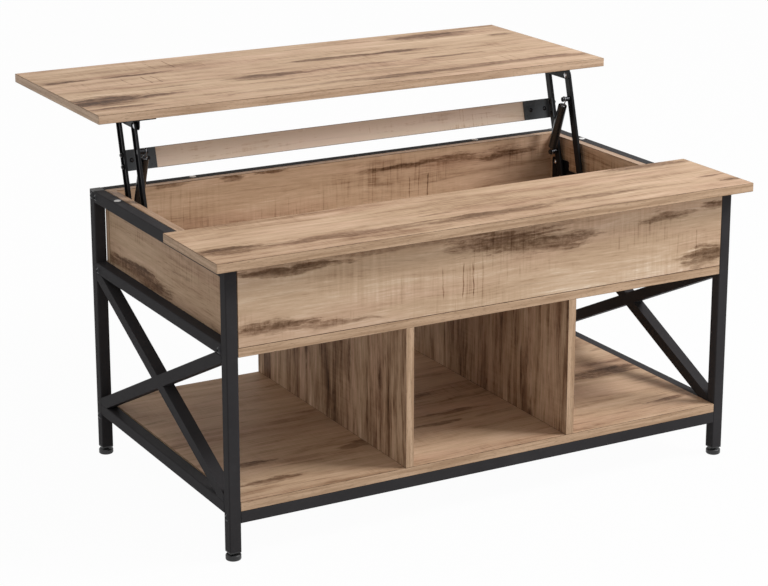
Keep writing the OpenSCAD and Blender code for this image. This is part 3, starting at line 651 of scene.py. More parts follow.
FRAME_COAT = Coat("frame_powder_coat", (0.041, 0.039, 0.041, 1), (0.070, 0.067, 0.070, 1), 0.50, 0.22,
                  depth=0.07 * MM, specular=0.018)
MECHANISM_COAT = Coat("mechanism_satin_coat", (0.009, 0.0092, 0.0105, 1), (0.035, 0.036, 0.039, 1), 0.32,
                      0.14, grain=1.4, depth=0.03 * MM, specular=0.13)
# The bracket's coat is lighter than the arms' and raised further to make up for the lifted top's shadow on
# it: partly its own colour, partly painted light
LIT_BRACKET_COAT = Coat("bracket_coat_with_painted_light", (0.060, 0.065, 0.070, 1), (0.10, 0.105, 0.11, 1), 0.30, 0.16,
                    grain=1.4, depth=0.03 * MM, metallic=0.1, specular=0.2)
BLACK_OXIDE = Coat("black_oxide", (0.022, 0.022, 0.024, 1), (0.09, 0.088, 0.085, 1), 0.28, 0.25,
                   grain=2.0, metallic=0.7)
BRIGHT_ZINC = Coat("bright_zinc", (0.66, 0.67, 0.70, 1), (0.40, 0.39, 0.37, 1), 0.26, 0.35,
                   grain=2.0, metallic=1.0)
SPRING_STEEL = Coat("oiled_spring_steel", (0.20, 0.20, 0.21, 1), (0.10, 0.09, 0.08, 1), 0.30, 0.30,
                    grain=2.4, depth=0.01 * MM, metallic=1.0)
SLEEVE_PLASTIC = Coat("sleeve_plastic", (0.012, 0.012, 0.013, 1), (0.05, 0.05, 0.05, 1), 0.17, 0.10,
                      grain=1.2, depth=0.01 * MM, specular=0.45)
BLACK_PLASTIC = Coat("black_moulded_plastic", (0.014, 0.014, 0.015, 1), (0.06, 0.058, 0.055, 1), 0.46,
                     0.22, grain=1.6, depth=0.05 * MM)
CLEAR_PAD = ClearPad("clear_bumper_plastic")
EDGE_BAND = EdgeBand("edge_band")
# A paler copy of the edge band for the lifting top: painted light, so that its lip looks lit brighter than
# the fixed top's
LIT_LIFT_BAND = EdgeBand("edge_band_painted_light", rgb(214, 185, 158), rgb(185, 155, 129), rgb(128, 102, 82))
# A darker copy of the edge band for the box ends: painted shade, as the ends' edges stand in shade
SHADED_END_BAND = EdgeBand("edge_band_painted_shade", rgb(188, 158, 133), rgb(160, 130, 106), rgb(118, 93, 75))
GLUE_LINE = GlueLine("band_glue_line")


def finish_mesh(name: str, shape: bmesh.types.BMesh, materials: Iterable[bpy.types.Material],
                smooth_below: float = 30.0, flat: Iterable[int] = ()) -> bpy.types.Object:
    """Turns a bmesh into an object at the origin.

    Args:
        name: The piece's name.
        shape: The shape, freed here.
        materials: Its materials in slot order.
        smooth_below: Edges sharper than this stay sharp, in degrees.
        flat: Faces that are shaded flat.

    Returns:
        The object, linked to the scene.
    """
    bmesh.ops.recalc_face_normals(shape, faces=shape.faces)
    mesh = bpy.data.meshes.new(name)
    shape.to_mesh(mesh)
    shape.free()
    for material in materials:
        mesh.materials.append(material)
    mesh.shade_smooth()
    mesh.set_sharp_from_angle(angle=math.radians(smooth_below))
    for index in flat:
        mesh.polygons[index].use_smooth = False
    piece = bpy.data.objects.new(name, mesh)
    bpy.context.scene.collection.objects.link(piece)
    return piece


def settle(piece: bpy.types.Object, body: str, slot: Slot, *nodes: str) -> None:
    """Puts a finished piece on its body and reports it.

    Args:
        piece: The piece.
        body: The body that it rides on.
        slot: The record's slot of its finish; not used.
        *nodes: The nodes that it stands for.
    """
    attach(piece, body)
    if nodes:
        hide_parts(*nodes)
    LOG.info("%s: %d faces on %s", piece.name, len(piece.data.polygons), body)


def dress(finish: Finish, *starts: str) -> None:
    """Gives construction pieces a finish.

    Args:
        finish: The finish.
        *starts: What the nodes' names start with.
    """
    for name in sorted(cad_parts):
        if not name.startswith(starts):
            continue
        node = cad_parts[name]
        if not node.material_slots:
            node.data.materials.append(None)
        for holder in node.material_slots:
            holder.material = finish.material()
        LOG.info("%s: %s", name, finish.name)


# The axes along the grain, across it and through the board
ALONG_X, FRONT, END, UPRIGHT = (0, 1, 2), (0, 2, 1), (1, 2, 0), (2, 1, 0)


@dataclass
class Board:
    """A board with eased, banded edges."""

    FACE, BAND, GLUE = 0, 1, 2
    # Materials of the strips from the low face over the edge to the high one
    STRIPS: ClassVar[tuple[int, ...]] = (GLUE, GLUE, GLUE, BAND, GLUE, GLUE, GLUE)
    LIP: ClassVar[int] = 3
    SEAM: ClassVar[float] = 0.3 * MM
    EASE: ClassVar[float] = 0.5 * MM
    LEAST_CORNER: ClassVar[float] = 0.05 * MM
    ARC: ClassVar[int] = 6
    # How far off in the print the reverse face and the bands are read, in metres
    REVERSE: ClassVar[float] = 10.0
    BAND_SHIFT: ClassVar[float] = 3.0

    node: str
    body: str
    axes: tuple[int, int, int]
    face: BoardPrint
    corner: float = 0.8 * MM
    low: Vector | None = None
    high: Vector | None = None
    turn: Matrix = field(default_factory=Matrix)
    reverse_high: bool = False
    band: EdgeBand = EDGE_BAND

    def outline(self, low: Sequence[float], high: Sequence[float], inset: float) -> list[tuple[float, float]]:
        """Gives the board's outline as seen along its thickness.

        Args:
            low: Lowest corner, along and across the grain.
            high: Highest corner.
            inset: How far inside the true outline it lies.

        Returns:
            Points round the outline.
        """
        radius = max(self.corner - inset, self.LEAST_CORNER)
        x0, y0, x1, y1 = low[0] + inset, low[1] + inset, high[0] - inset, high[1] - inset
        points = []
        for cx, cy, start in ((x1 - radius, y0 + radius, -90), (x1 - radius, y1 - radius, 0),
                              (x0 + radius, y1 - radius, 90), (x0 + radius, y0 + radius, 180)):
            for step in range(self.ARC + 1):
                angle = math.radians(start + 90 * step / self.ARC)
                points.append((cx + radius * math.cos(angle), cy + radius * math.sin(angle)))
        return points

    def build(self) -> None:
        """Builds the board and puts it on its body."""
        if self.low is None:
            self.low, self.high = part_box(self.node)
        grain, across, through = self.axes
        low = [self.low[grain], self.low[across]]
        high = [self.high[grain], self.high[across]]
        bottom, top = self.low[through], self.high[through]
        ease, seam = self.EASE, self.SEAM
        arc = ease * (1 - math.sqrt(0.5))
        levels = ((ease + seam, bottom), (ease, bottom), (arc, bottom + arc), (0.0, bottom + ease),
                  (0.0, top - ease), (arc, top - arc), (ease, top), (ease + seam, top))
        shape = bmesh.new()
        uv = shape.loops.layers.uv.new(BOARD_UV)

        def vertex(u: float, v: float, w: float) -> Corner:
            """Makes the vertex at a place along, across and through the board."""
            place = dict(zip(self.axes, (u, v, w)))
            return shape.verts.new((place[0], place[1], place[2]))

        rings = [[(u, v, w, vertex(u, v, w)) for u, v in self.outline(low, high, inset)]
                 for inset, w in levels]
        shifts = (0.0, self.REVERSE) if self.reverse_high else (self.REVERSE, 0.0)

        def face(corners: list[tuple], material: int, shift: float) -> None:
            """Adds a face with its place on the print in metres.

            Args:
                corners: Its corners: along, across, through and vertex.
                material: Its material's number.
                shift: How far off the print is read on a face of the board.
            """
            made = shape.faces.new([c[3] for c in corners])
            made.material_index = material
            spread = [max(c[k] for c in corners) - min(c[k] for c in corners) for k in (0, 1)]
            side = 0 if spread[0] >= spread[1] else 1
            for loop, corner in zip(made.loops, corners):
                loop[uv].uv = ((corner[side] + self.BAND_SHIFT + side, corner[2])
                               if material == self.BAND else (corner[0] + shift, corner[1]))

        count = len(rings[0])
        flat = [len(self.STRIPS) * count, len(self.STRIPS) * count + 1]
        for level, material in enumerate(self.STRIPS):
            for k in range(count):
                # The straight stretches of the lip stay crisp beside the eased edges
                if material == self.GLUE or (level == self.LIP and k % (self.ARC + 1) == self.ARC):
                    flat.append(level * count + k)
                after = (k + 1) % count
                face([rings[level][k], rings[level][after], rings[level + 1][after],
                      rings[level + 1][k]], material, shifts[level > 0])
        face(rings[0], self.FACE, shifts[0])
        face(rings[-1], self.FACE, shifts[1])
        bmesh.ops.transform(shape, matrix=self.turn, verts=shape.verts)
        dressed = (self.face.material(), self.band.material(), GLUE_LINE.material())
        piece = finish_mesh(self.node + "_board", shape, dressed, smooth_below=25.0, flat=flat)
        settle(piece, self.body, Slot.BOARD, self.node)


@dataclass
class Tops:
    """The fixed front top and the lifting rear top."""

    corner: float = 1.2 * MM

    def lift_face(self, back: float) -> BoardPrint:
        """Gives the lifting top's print, its marks measured from the back edge.

        Args:
            back: Where the back edge lies, in mm.

        Returns:
            The print.
        """
        smudges = marks(
            (-455, 117, 48, 9, 0.85), (-325, 115, 80, 9, 0.9), (95, 150, 165, 12, 0.85),
            (200, 146, 75, 12, 0.8), (330, 48, 95, 24, 0.85), (455, 96, 40, 9, 0.7),
            (-120, 238, 92, 22, 0.75), (30, 230, 70, 8, 0.6), (95, 231, 60, 8, 0.6),
            (265, 229, 75, 7, 0.55), (-300, 238, 75, 7, 0.4), (-450, 295, 90, 34, 0.95),
            (-350, 290, 62, 12, 0.9), (-440, 350, 65, 9, 0.7), (120, 344, 420, 13, 0.55),
            (380, 336, 150, 18, 0.62), (55, 354, 50, 6, 0.6), (30, 282, 260, 6, 0.35), back=back)
        ticks = marks((-360, 165, 95, 30, 1.0), (-270, 53, 52, 34, 0.9), (300, 300, 80, 26, 0.7), back=back)
        return BoardPrint("lift_top_print", smudges, 0.2, 0.65, 0.45, -0.01, (0.31, 0.17), 1.15, ticks)

    def fixed_face(self, back: float) -> BoardPrint:
        """Gives the fixed top's print, its smudges measured from the back edge.

        Args:
            back: Where the back edge lies, in mm.

        Returns:
            The print.
        """
        smudges = marks(
            (-450, 143, 75, 22, 0.8), (-250, 148, 200, 17, 0.6), (0, 152, 160, 15, 0.65),
            (-20, 158, 60, 9, 0.6), (230, 139, 130, 10, 0.5), (-78, 112, 38, 6, 0.6),
            (400, 12, 95, 22, 0.7), (480, 123, 34, 7, 0.7), (485, 153, 32, 7, 0.7), back=back)
        return BoardPrint("fixed_top_print", smudges, 0.15, 0.5, 0.35, -0.03, (1.7, 0.45), 1.15)

    def build(self) -> None:
        """Builds both tops."""
        # The lifting top's lip takes the paler band, which is painted light
        for node, body, draw, band in (("lift_top", "lift_top", self.lift_face, LIT_LIFT_BAND),
                                       ("fixed_top", "frame", self.fixed_face, EDGE_BAND)):
            face = draw(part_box(node)[1].y / MM)
            Board(node, body, ALONG_X, face, self.corner, band=band).build()


@dataclass
class StorageBox:
    """The box under the tops: floor, front, back and two ends."""

    body: str = "frame"

    def build(self) -> None:
        """Builds the box's boards."""
        # The first of the box front's marks, a long thin band just under the top's lip, is painted shade
        # under the overhang; the others are print
        front = BoardPrint("box_front_print_and_painted_shade", marks(
            (-130, 468, 320, 9, 0.6), (-365, 458, 112, 9, 1.0), (20, 452, 112, 22, 0.95),
            (95, 434, 112, 15, 0.8), (330, 449, 62, 11, 0.75), (440, 458, 34, 9, 0.8),
            (-400, 370, 80, 15, 0.85), (-310, 362, 100, 8, 0.6), (430, 368, 55, 20, 0.85)),
            0.15, 1.0, 0.3, 0.12, (2.9, 0.8), ticks=marks((-100, 396, 92, 30, 1.0), (360, 395, 60, 24, 0.6)))
        back = BoardPrint("box_back_print", marks(
            (-350, 474, 40, 6, 0.8), (-220, 473, 24, 6, 0.8), (-150, 474, 30, 6, 0.8),
            (110, 452, 75, 8, 0.7), (210, 456, 80, 10, 0.65), (330, 452, 70, 10, 0.7)),
            0.25, 0.8, 0.3, 0.03, (4.4, 1.9), ticks=marks((128, 410, 62, 24, 1.0)))
        for node, face in (("box_front", front), ("box_back", back)):
            Board(node, self.body, FRONT, face, reverse_high=True).build()
        end = marks((-20, 368, 150, 14, 0.85), (80, 362, 110, 11, 0.8))
        for side, shift in (("left", 5.2), ("right", 7.1)):
            face = BoardPrint(f"box_end_{side}_print", end, 0.35, 0.7, 0.35, -0.03, (shift, 2.6))
            # The ends' edges take the darker band, which is painted shade
            Board(f"box_end_{side}", self.body, END, face, reverse_high=side == "left",
                  band=SHADED_END_BAND).build()
        floor = BoardPrint("box_floor_print", (), 0.45, 0.4, 0.4, -0.02, (6.3, 3.1))
        Board("box_floor", self.body, ALONG_X, floor).build()


@dataclass
class ShelfBay:
    """The shelf and its two dividers."""

    body: str = "frame"

    def build(self) -> None:
        """Builds the shelf and the dividers."""
        shelf = marks((-365, -336, 65, 10, 0.7), (-180, -262, 40, 16, 0.6), (-365, -258, 36, 8, 0.7),
                      (-15, -246, 60, 7, 0.7), (40, -210, 70, 8, 0.6), (385, -165, 90, 26, 0.75),
                      (395, -335, 48, 9, 0.7))
        face = BoardPrint("shelf_print", shelf, 0.4, 0.5, 0.4, 0.0, (8.4, 3.9))
        Board("shelf", self.body, ALONG_X, face).build()
        for side, shift in (("left", 9.3), ("right", 10.6)):
            face = BoardPrint(f"divider_{side}_print", (), 0.85, 0.25, 0.95, -0.09, (shift, 5.2), 2.1)
            Board(f"divider_{side}", self.body, UPRIGHT, face).build()


@dataclass
class Crossbar:
    """Wooden bar between the rear arms, tilted with them."""

    pivot: Vector
    lean: float
    half_length: float = 425.5 * MM
    near: float = 5 * MM
    thickness: float = 15 * MM
    middle: float = 134 * MM
    height: float = 36 * MM

    def build(self) -> None:
        """Builds the bar in the arms' own frame."""
        turn = Matrix.Translation(self.pivot) @ Matrix.Rotation(self.lean, 4, "X")
        low = Vector((-self.half_length, self.near, self.middle - self.height / 2))
        high = Vector((self.half_length, self.near + self.thickness, self.middle + self.height / 2))
        # The print's tone is raised by 0.44 here, far above the other boards: painted light that keeps the
        # bar bright where it lies in the lifted top's shadow
        face = BoardPrint("crossbar_print_painted_light", (), 0.15, 0.9, 0.2, 0.44, (12.1, 6.4))
        Board("crossbar", "rear_arms", FRONT, face, low=low, high=high, turn=turn,
              reverse_high=True).build()


class Repeat:
    """A Geometry Nodes tree that makes what repeats or follows a path."""

    def __init__(self, name: str, *sizes: tuple[str, str, object]) -> None:
        """Makes the tree with named inputs for its sizes and its material.

        Args:
            name: The tree's name.
            *sizes: Name, kind and value of each size.
        """
        self.tree = bpy.data.node_groups.new(name, "GeometryNodeTree")
        face = self.tree.interface
        face.new_socket(name="Geometry", in_out="INPUT", socket_type="NodeSocketGeometry")
        self.keys: dict[str, str] = {}
        for label, kind, value in (*sizes, ("Material", "Material", None)):
            socket = face.new_socket(name=label, in_out="INPUT", socket_type="NodeSocket" + kind)
            if value is not None:
                socket.default_value = value
            self.keys[label] = socket.identifier
        face.new_socket(name="Geometry", in_out="OUTPUT", socket_type="NodeSocketGeometry")
        self.nodes = Nodes(self.tree)
        self.given = self.nodes.add("NodeGroupInput").outputs

    def chance(self, low: float, high: float) -> Socket:
        """Draws a number between two from the tree's seed."""
        draw = self.nodes.add("FunctionNodeRandomValue", {2: low, 3: high, "Seed": self.given["Seed"]})
        return draw.outputs[1]

    def sweep(self, curve: Socket, scale: object = 1.0) -> None:
        """Ends the tree in a round rod along a curve.

        Args:
            curve: The curve.
            scale: Share of the rod's radius at each point.
        """
        ring = self.nodes.out("GeometryNodeCurvePrimitiveCircle", {
            "Resolution": self.given["Sides"], "Radius": self.given["Radius"]}, mode="RADIUS")
        self.end(self.nodes.out("GeometryNodeCurveToMesh", {
            "Curve": curve, "Profile Curve": ring, "Scale": scale, "Fill Caps": True}))

    def end(self, geometry: Socket) -> None:
        """Ends the tree in real, smooth geometry with its material.

        Args:
            geometry: What the tree has made.
        """
        real = self.nodes.out("GeometryNodeRealizeInstances", {0: geometry})
        smooth = self.nodes.out("GeometryNodeSetShadeSmooth", {"Geometry": real})
        dressed = self.nodes.out("GeometryNodeSetMaterial", {"Geometry": smooth,
                                                             "Material": self.given["Material"]})
        self.nodes.add("NodeGroupOutput", {0: dressed})

    def make(self, name: str, source: bpy.types.Mesh, **values: object) -> bpy.types.Object:
        """Runs the tree once on a mesh and keeps the result as a plain piece.

        Args:
            name: The piece's name.
            source: Points or edges that it works on.
            **values: Input values by name.

        Returns:
            The piece.
        """
        holder = bpy.data.objects.new(name, source)
        bpy.context.scene.collection.objects.link(holder)
        modifier = holder.modifiers.new(name, "NODES")
        modifier.node_group = self.tree
        for label, value in values.items():
            modifier[self.keys[label]] = value
        bpy.context.view_layer.update()
        graph = bpy.context.evaluated_depsgraph_get()
        mesh = bpy.data.meshes.new_from_object(holder.evaluated_get(graph))
        holder.modifiers.clear()
        holder.data = mesh
        mesh.name = name
        return holder


def path_mesh(name: str, lines: Iterable[Sequence[Vector]]) -> bpy.types.Mesh:
    """Makes a mesh of open lines.

    Args:
        name: The mesh's name.
        lines: Points of each line.

    Returns:
        The mesh.
    """
    points: list[Vector] = []
    edges: list[tuple[int, int]] = []
    for line in lines:
        edges += [(len(points) + k, len(points) + k + 1) for k in range(len(line) - 1)]
        points += list(line)
    mesh = bpy.data.meshes.new(name)
    mesh.from_pydata([tuple(p) for p in points], edges, [])
    return mesh


def wire_tree() -> Repeat:
    """Builds the tree that lays a round wire along a path.

    Returns:
        The tree.
    """
    tree = Repeat("round_wire", ("Radius", "Float", 1 * MM), ("Sides", "Int", 12))
    tree.sweep(tree.nodes.out("GeometryNodeMeshToCurve", {0: tree.given["Geometry"]}))
    return tree


def weld_tree() -> Repeat:
    """Builds the tree that lays a rippled weld bead along each line.

    Returns:
        The tree.
    """
    tree = Repeat("weld_bead", ("Radius", "Float", 1.3 * MM), ("Sides", "Int", 10),
                  ("Ripple", "Float", 0.2), ("Ripples", "Int", 25), ("Seed", "Int", 7))
    nodes, given = tree.nodes, tree.given
    curve = nodes.out("GeometryNodeMeshToCurve", {0: given["Geometry"]})
    spaced = nodes.out("GeometryNodeResampleCurve", {"Curve": curve, "Count": given["Ripples"]})
    wave = nodes.maths("MODULO", nodes.out("GeometryNodeInputIndex"), 2.0)
    swell = nodes.maths("ADD", wave, tree.chance(-0.5, 0.5))
    tree.sweep(spaced, nodes.maths("MULTIPLY_ADD", swell, given["Ripple"], 1.0))
    return tree


def head_tree() -> Repeat:
    """Builds the tree that sets a screw head on each point.

    Returns:
        The tree.
    """
    tree = Repeat("set_heads", ("Head", "Object", None), ("Turn", "Vector", (0.0, 0.0, 0.0)),
                  ("Seed", "Int", 3))
    nodes, given = tree.nodes, tree.given
    head = nodes.add("GeometryNodeObjectInfo", {"Object": given["Head"]}).outputs["Geometry"]
    spin = nodes.out("ShaderNodeCombineXYZ", {"Z": tree.chance(0.0, math.tau)})
    turn = nodes.out("FunctionNodeRotateEuler", {"Rotation": given["Turn"], "Rotate By": spin},
                     rotation_type="EULER", space="LOCAL")
    tree.end(nodes.out("GeometryNodeInstanceOnPoints", {"Points": given["Geometry"], "Instance": head,
                                                        "Rotation": turn}))
    return tree


@dataclass
class SteelFrame:
    """Square tube frame: its coat, its welds, bolts, plugs and feet."""

    post_x: float = 465.0
    half_tube: float = 10.0
    depth: float = 540.0
    rails: tuple[tuple[float, float], ...] = ((75.0, 95.0), (332.0, 352.0), (458.0, 478.0))
    bead_inset: float = 1.6

    def brace_corners(self) -> list[tuple[float, float]]:
        """Gives the corners of the cross brace as y and z.

        Returns:
            Where the braces' edges meet the side frame, and their crossing.
        """
        low, high = self.rails[0][1], self.rails[1][0]
        inner = 2 * self.half_tube
        tilt = math.atan2(high - low, self.depth - 2 * inner)
        rise = self.half_tube / math.cos(tilt)
        run = self.half_tube / math.sin(tilt)
        middle_y, middle_z = self.depth / 2, (low + high) / 2
        ends = [(inner, low + rise), (inner + run, low), (inner, high - rise), (inner + run, high)]
        ends += [(self.depth - y, z) for y, z in ends]
        return ends + [(middle_y, middle_z - rise), (middle_y, middle_z + rise),
                       (middle_y - run, middle_z), (middle_y + run, middle_z)]

    def weld_lines(self) -> list[list[Vector]]:
        """Gives the lines that the weld beads follow.

        Returns:
            Both ends of each line.
        """
        inner = 2 * self.half_tube
        corners = self.brace_corners()
        for low, high in self.rails:
            for y in (inner, self.depth - inner):
                corners.append((y, low))
                if high < self.rails[-1][1]:
                    corners.append((y, high))
        reach = self.half_tube - self.bead_inset
        return [[at(side * self.post_x - reach, y, z), at(side * self.post_x + reach, y, z)]
                for side in (-1, 1) for y, z in corners]

    def build(self) -> None:
        """Dresses the frame and adds its weld beads."""
        dress(FRAME_COAT, "post_", "side_rail_", "brace_", "rail_")
        dress(BLACK_OXIDE, "frame_bolts")
        dress(BLACK_PLASTIC, "tube_plugs", "foot_")
        beads = weld_tree().make("frame_welds", path_mesh("weld_lines", self.weld_lines()),
                                 Material=FRAME_COAT.material())
        settle(beads, "frame", Slot.FRAME)


def ring(shape: bmesh.types.BMesh, foot: Vector, radii: Sequence[float], z: float) -> list[Corner]:
    """Sets points round an upright axis.

    Args:
        shape: The shape that they go to.
        foot: Foot of the axis.
        radii: Each point's distance from the axis, from the X side round.
        z: Their height over the foot.

    Returns:
        The points.
    """
    points = []
    for k, radius in enumerate(radii):
        angle = math.tau * k / len(radii)
        points.append(shape.verts.new(foot + Vector((radius * math.cos(angle), radius * math.sin(angle), z))))
    return points


def skin(shape: bmesh.types.BMesh, rings: Sequence[Sequence[Corner]]) -> None:
    """Joins rings of as many points each with faces.

    Args:
        shape: The shape that they are in.
        rings: The rings in order.
    """
    for one, two in zip(rings, rings[1:]):
        for k in range(len(one)):
            after = (k + 1) % len(one)
            shape.faces.new((one[k], one[after], two[after], two[k]))


@dataclass
class PanelScrews:
    """Flush heads of the long panel screws, each with its hexagon recess."""

    around: int = 24
    head_radius: float = 4.0 * MM
    head_height: float = 0.35 * MM
    head_ease: float = 0.3 * MM
    head_skirt: float = 0.4 * MM
    socket_radius: float = 2.3 * MM
    socket_depth: float = 2.0 * MM
    socket_ease: float = 0.15 * MM
    socket_mouth: float = 1.12
    # Where the heads stand, in mm: through the box floor into its walls, into the dividers from
    # the box floor above and from the shelf below
    walls: tuple[tuple[float, ...], ...] = ((-390, -130, 130, 390), (7.5, 512.5))
    ends: tuple[tuple[float, ...], ...] = ((-447.5, 447.5), (110, 410))
    dividers: tuple[tuple[float, ...], ...] = ((-154.167, 154.167), (80, 460))
    floor_low: float = 332.0
    floor_high: float = 347.0
    shelf_low: float = 81.0

    def head(self) -> bpy.types.Object:
        """Builds one head on z = 0, facing up.

        Returns:
            The head, not shown.
        """
        shape = bmesh.new()
        foot = Vector((0.0, 0.0, 0.0))
        turned = ((self.head_radius, -self.socket_depth - self.head_skirt), (self.head_radius, 0.0),
                  (self.head_radius - self.head_ease, self.head_height),
                  (self.socket_radius * self.socket_mouth, self.head_height))
        rings = [ring(shape, foot, [radius] * self.around, z) for radius, z in turned]
        flats = [(math.tau * k / self.around) % (math.pi / 3) - math.pi / 6 for k in range(self.around)]
        hexagon = [self.socket_radius * math.cos(math.pi / 6) / math.cos(edge) for edge in flats]
        rings += [ring(shape, foot, hexagon, z)
                  for z in (self.head_height - self.socket_ease, -self.socket_depth)]
        skin(shape, rings)
        shape.faces.new(rings[0])
        shape.faces.new(list(reversed(rings[-1])))
        return finish_mesh("panel_screw_head", shape, ())

    def places(self) -> dict[bool, list[Vector]]:
        """Gives the heads' places, keyed by whether they face up.

        Returns:
            The places.
        """
        levels = ((False, self.walls, self.floor_low), (False, self.ends, self.floor_low),
                  (False, self.dividers, self.shelf_low), (True, self.dividers, self.floor_high))
        found: dict[bool, list[Vector]] = {False: [], True: []}
        for up, (along, back), z in levels:
            found[up] += [at(x, y, z) for x in along for y in back]
        return found

    def build(self) -> None:
        """Sets all heads as one piece."""
        heads, head, zinc = head_tree(), self.head(), BRIGHT_ZINC.material()
        shape = bmesh.new()
        for up, points in self.places().items():
            source = path_mesh("head_places", [[p] for p in points])
            turn = (0.0, 0.0, 0.0) if up else (math.pi, 0.0, 0.0)
            part = heads.make("heads", source, Head=head, Turn=turn, Material=zinc)
            shape.from_mesh(part.data)
            bpy.data.objects.remove(part)
        bpy.data.objects.remove(head)
        piece = finish_mesh("panel_screw_heads", shape, (zinc,), smooth_below=35.0)
        settle(piece, "frame", Slot.ZINC, "panel_screws")


@dataclass
class Bumpers:
    """Clear domed pads on the rear rails."""

    # The dome's outline from its foot up: share of the radius and height in mm
    DOME: ClassVar[tuple[tuple[float, float], ...]] = (
        (0.97, 0.0), (1.0, 0.18), (0.985, 0.42), (0.93, 0.68), (0.82, 0.92), (0.62, 1.10), (0.34, 1.18))

    radius: float = 6.0 * MM
    height: float = 1.2 * MM
    around: int = 40
    places: tuple[tuple[float, float], ...] = ((-465, 440), (465, 440), (-287, 530), (287, 530))
    rail_top: float = 478.0

    def build(self) -> None:
        """Builds the pads as one piece."""
        shape = bmesh.new()
        for x, y in self.places:
            foot = at(x, y, self.rail_top)
            rings = [ring(shape, foot, [self.radius * share] * self.around, z * MM) for share, z in self.DOME]
            skin(shape, rings)
            shape.faces.new(rings[0])
            crown = shape.verts.new(foot + Vector((0, 0, self.height)))
            for k in range(self.around):
                shape.faces.new((rings[-1][k], rings[-1][(k + 1) % self.around], crown))
        piece = finish_mesh("bumper_pads", shape, (CLEAR_PAD.material(),), smooth_below=40.0)
        settle(piece, "frame", Slot.PAD, "bumpers")


@dataclass
class LiftMechanism:
    """Arms, plates, brackets, rivets and screws of the lift, by what their names start with."""

    coated: tuple[str, ...] = ("rear_arm_", "front_arm_", "base_plate_l", "base_plate_r",
                               "top_bracket_l", "top_bracket_r")
    brackets: tuple[str, ...] = ("crossbar_bracket",)
    black: tuple[str, ...] = ("bracket_bolts", "crossbar_screws", "rear_studs", "front_stud_")
    bright: tuple[str, ...] = ("base_pivots", "top_pivots", "base_plate_screws", "top_bracket_screws")

    def build(self) -> None:
        """Dresses the mechanism's construction pieces."""
        for finish, starts in ((MECHANISM_COAT, self.coated), (LIT_BRACKET_COAT, self.brackets),
                               (BLACK_OXIDE, self.black), (BRIGHT_ZINC, self.bright)):
            dress(finish, *starts)


@dataclass
class Springs:
    """Coil springs with open hooks, their lower ends and their sleeves, in mm and degrees."""

    pivot: Vector
    lean: float
    spring_x: float = 417.0
    stud_at: float = 52.0
    length: float = 113.94584
    angle: float = 109.71847
    wire: float = 2.2
    pitch: float = 2.8
    coil: float = 4.5
    turns: int = 30
    tail_turns: int = 2
    hook_rise: float = 10.5
    bend: float = 2.0
    step: int = 15
    # The hook's open eye, from its bend round to its end
    eye: tuple[int, int, int] = (180, -76, -7)

    def wire_path(self, turns: int) -> list[Vector]:
        """Gives one wire's path: turns, bend and open eye, in mm from its lowest turn.

        Args:
            turns: Number of turns.

        Returns:
            Points along the wire.
        """
        points = []
        for a in range(0, 360 * turns, self.step):
            t = math.radians(a - 90)
            points.append(Vector((self.coil * math.cos(t), self.coil * math.sin(t), self.pitch * a / 360)))
        top = turns * self.pitch
        for a in range(0, 91, self.step):
            t = math.radians(a)
            points.append(Vector((self.bend * (math.sin(t) - 1), -self.coil,
                                  top + self.bend * (1 - math.cos(t)))))
        for a in range(*self.eye):
            t = math.radians(a)
            points.append(Vector((0.0, self.coil * math.cos(t),
                                  top + self.hook_rise + self.coil * math.sin(t))))
        return points

    def placed(self, side: int, points: Iterable[Vector], tail: bool) -> list[Vector]:
        """Puts a wire's path between the studs.

        Args:
            side: -1 for left, 1 for right.
            points: The path.
            tail: Whether it is the lower end, which is turned over.

        Returns:
            The path in the model's frame.
        """
        if tail:
            own = (Matrix.Translation((0, 0, self.hook_rise + self.tail_turns * self.pitch))
                   @ Matrix.Rotation(math.pi, 4, "X"))
        else:
            own = Matrix.Translation((0, 0, self.length - self.hook_rise - self.turns * self.pitch))
        along = (Matrix.Rotation(self.lean, 4, "X")
                 @ Matrix.Translation((self.spring_x, 0, self.stud_at))
                 @ Matrix.Rotation(math.radians(self.angle - ARM_ANGLE), 4, "X") @ own)
        return [self.pivot + Vector((side * p.x, p.y, p.z)) * MM for p in (along @ point for point in points)]

    def build(self) -> None:
        """Builds the wires and dresses the sleeves."""
        wires, steel = wire_tree(), SPRING_STEEL.material()
        for name, side in (("left", -1), ("right", 1)):
            for node, turns, tail, body in (
                    (f"spring_{name}", self.turns, False, f"spring_{name}"),
                    (f"spring_tail_{name}", self.tail_turns, True, f"spring_sleeve_{name}")):
                line = self.placed(side, self.wire_path(turns), tail)
                piece = wires.make(node + "_wire", path_mesh(node, [line]), Radius=self.wire / 2 * MM,
                                   Material=steel)
                settle(piece, body, Slot.SPRING, node)
        dress(SLEEVE_PLASTIC, "spring_sleeve_")


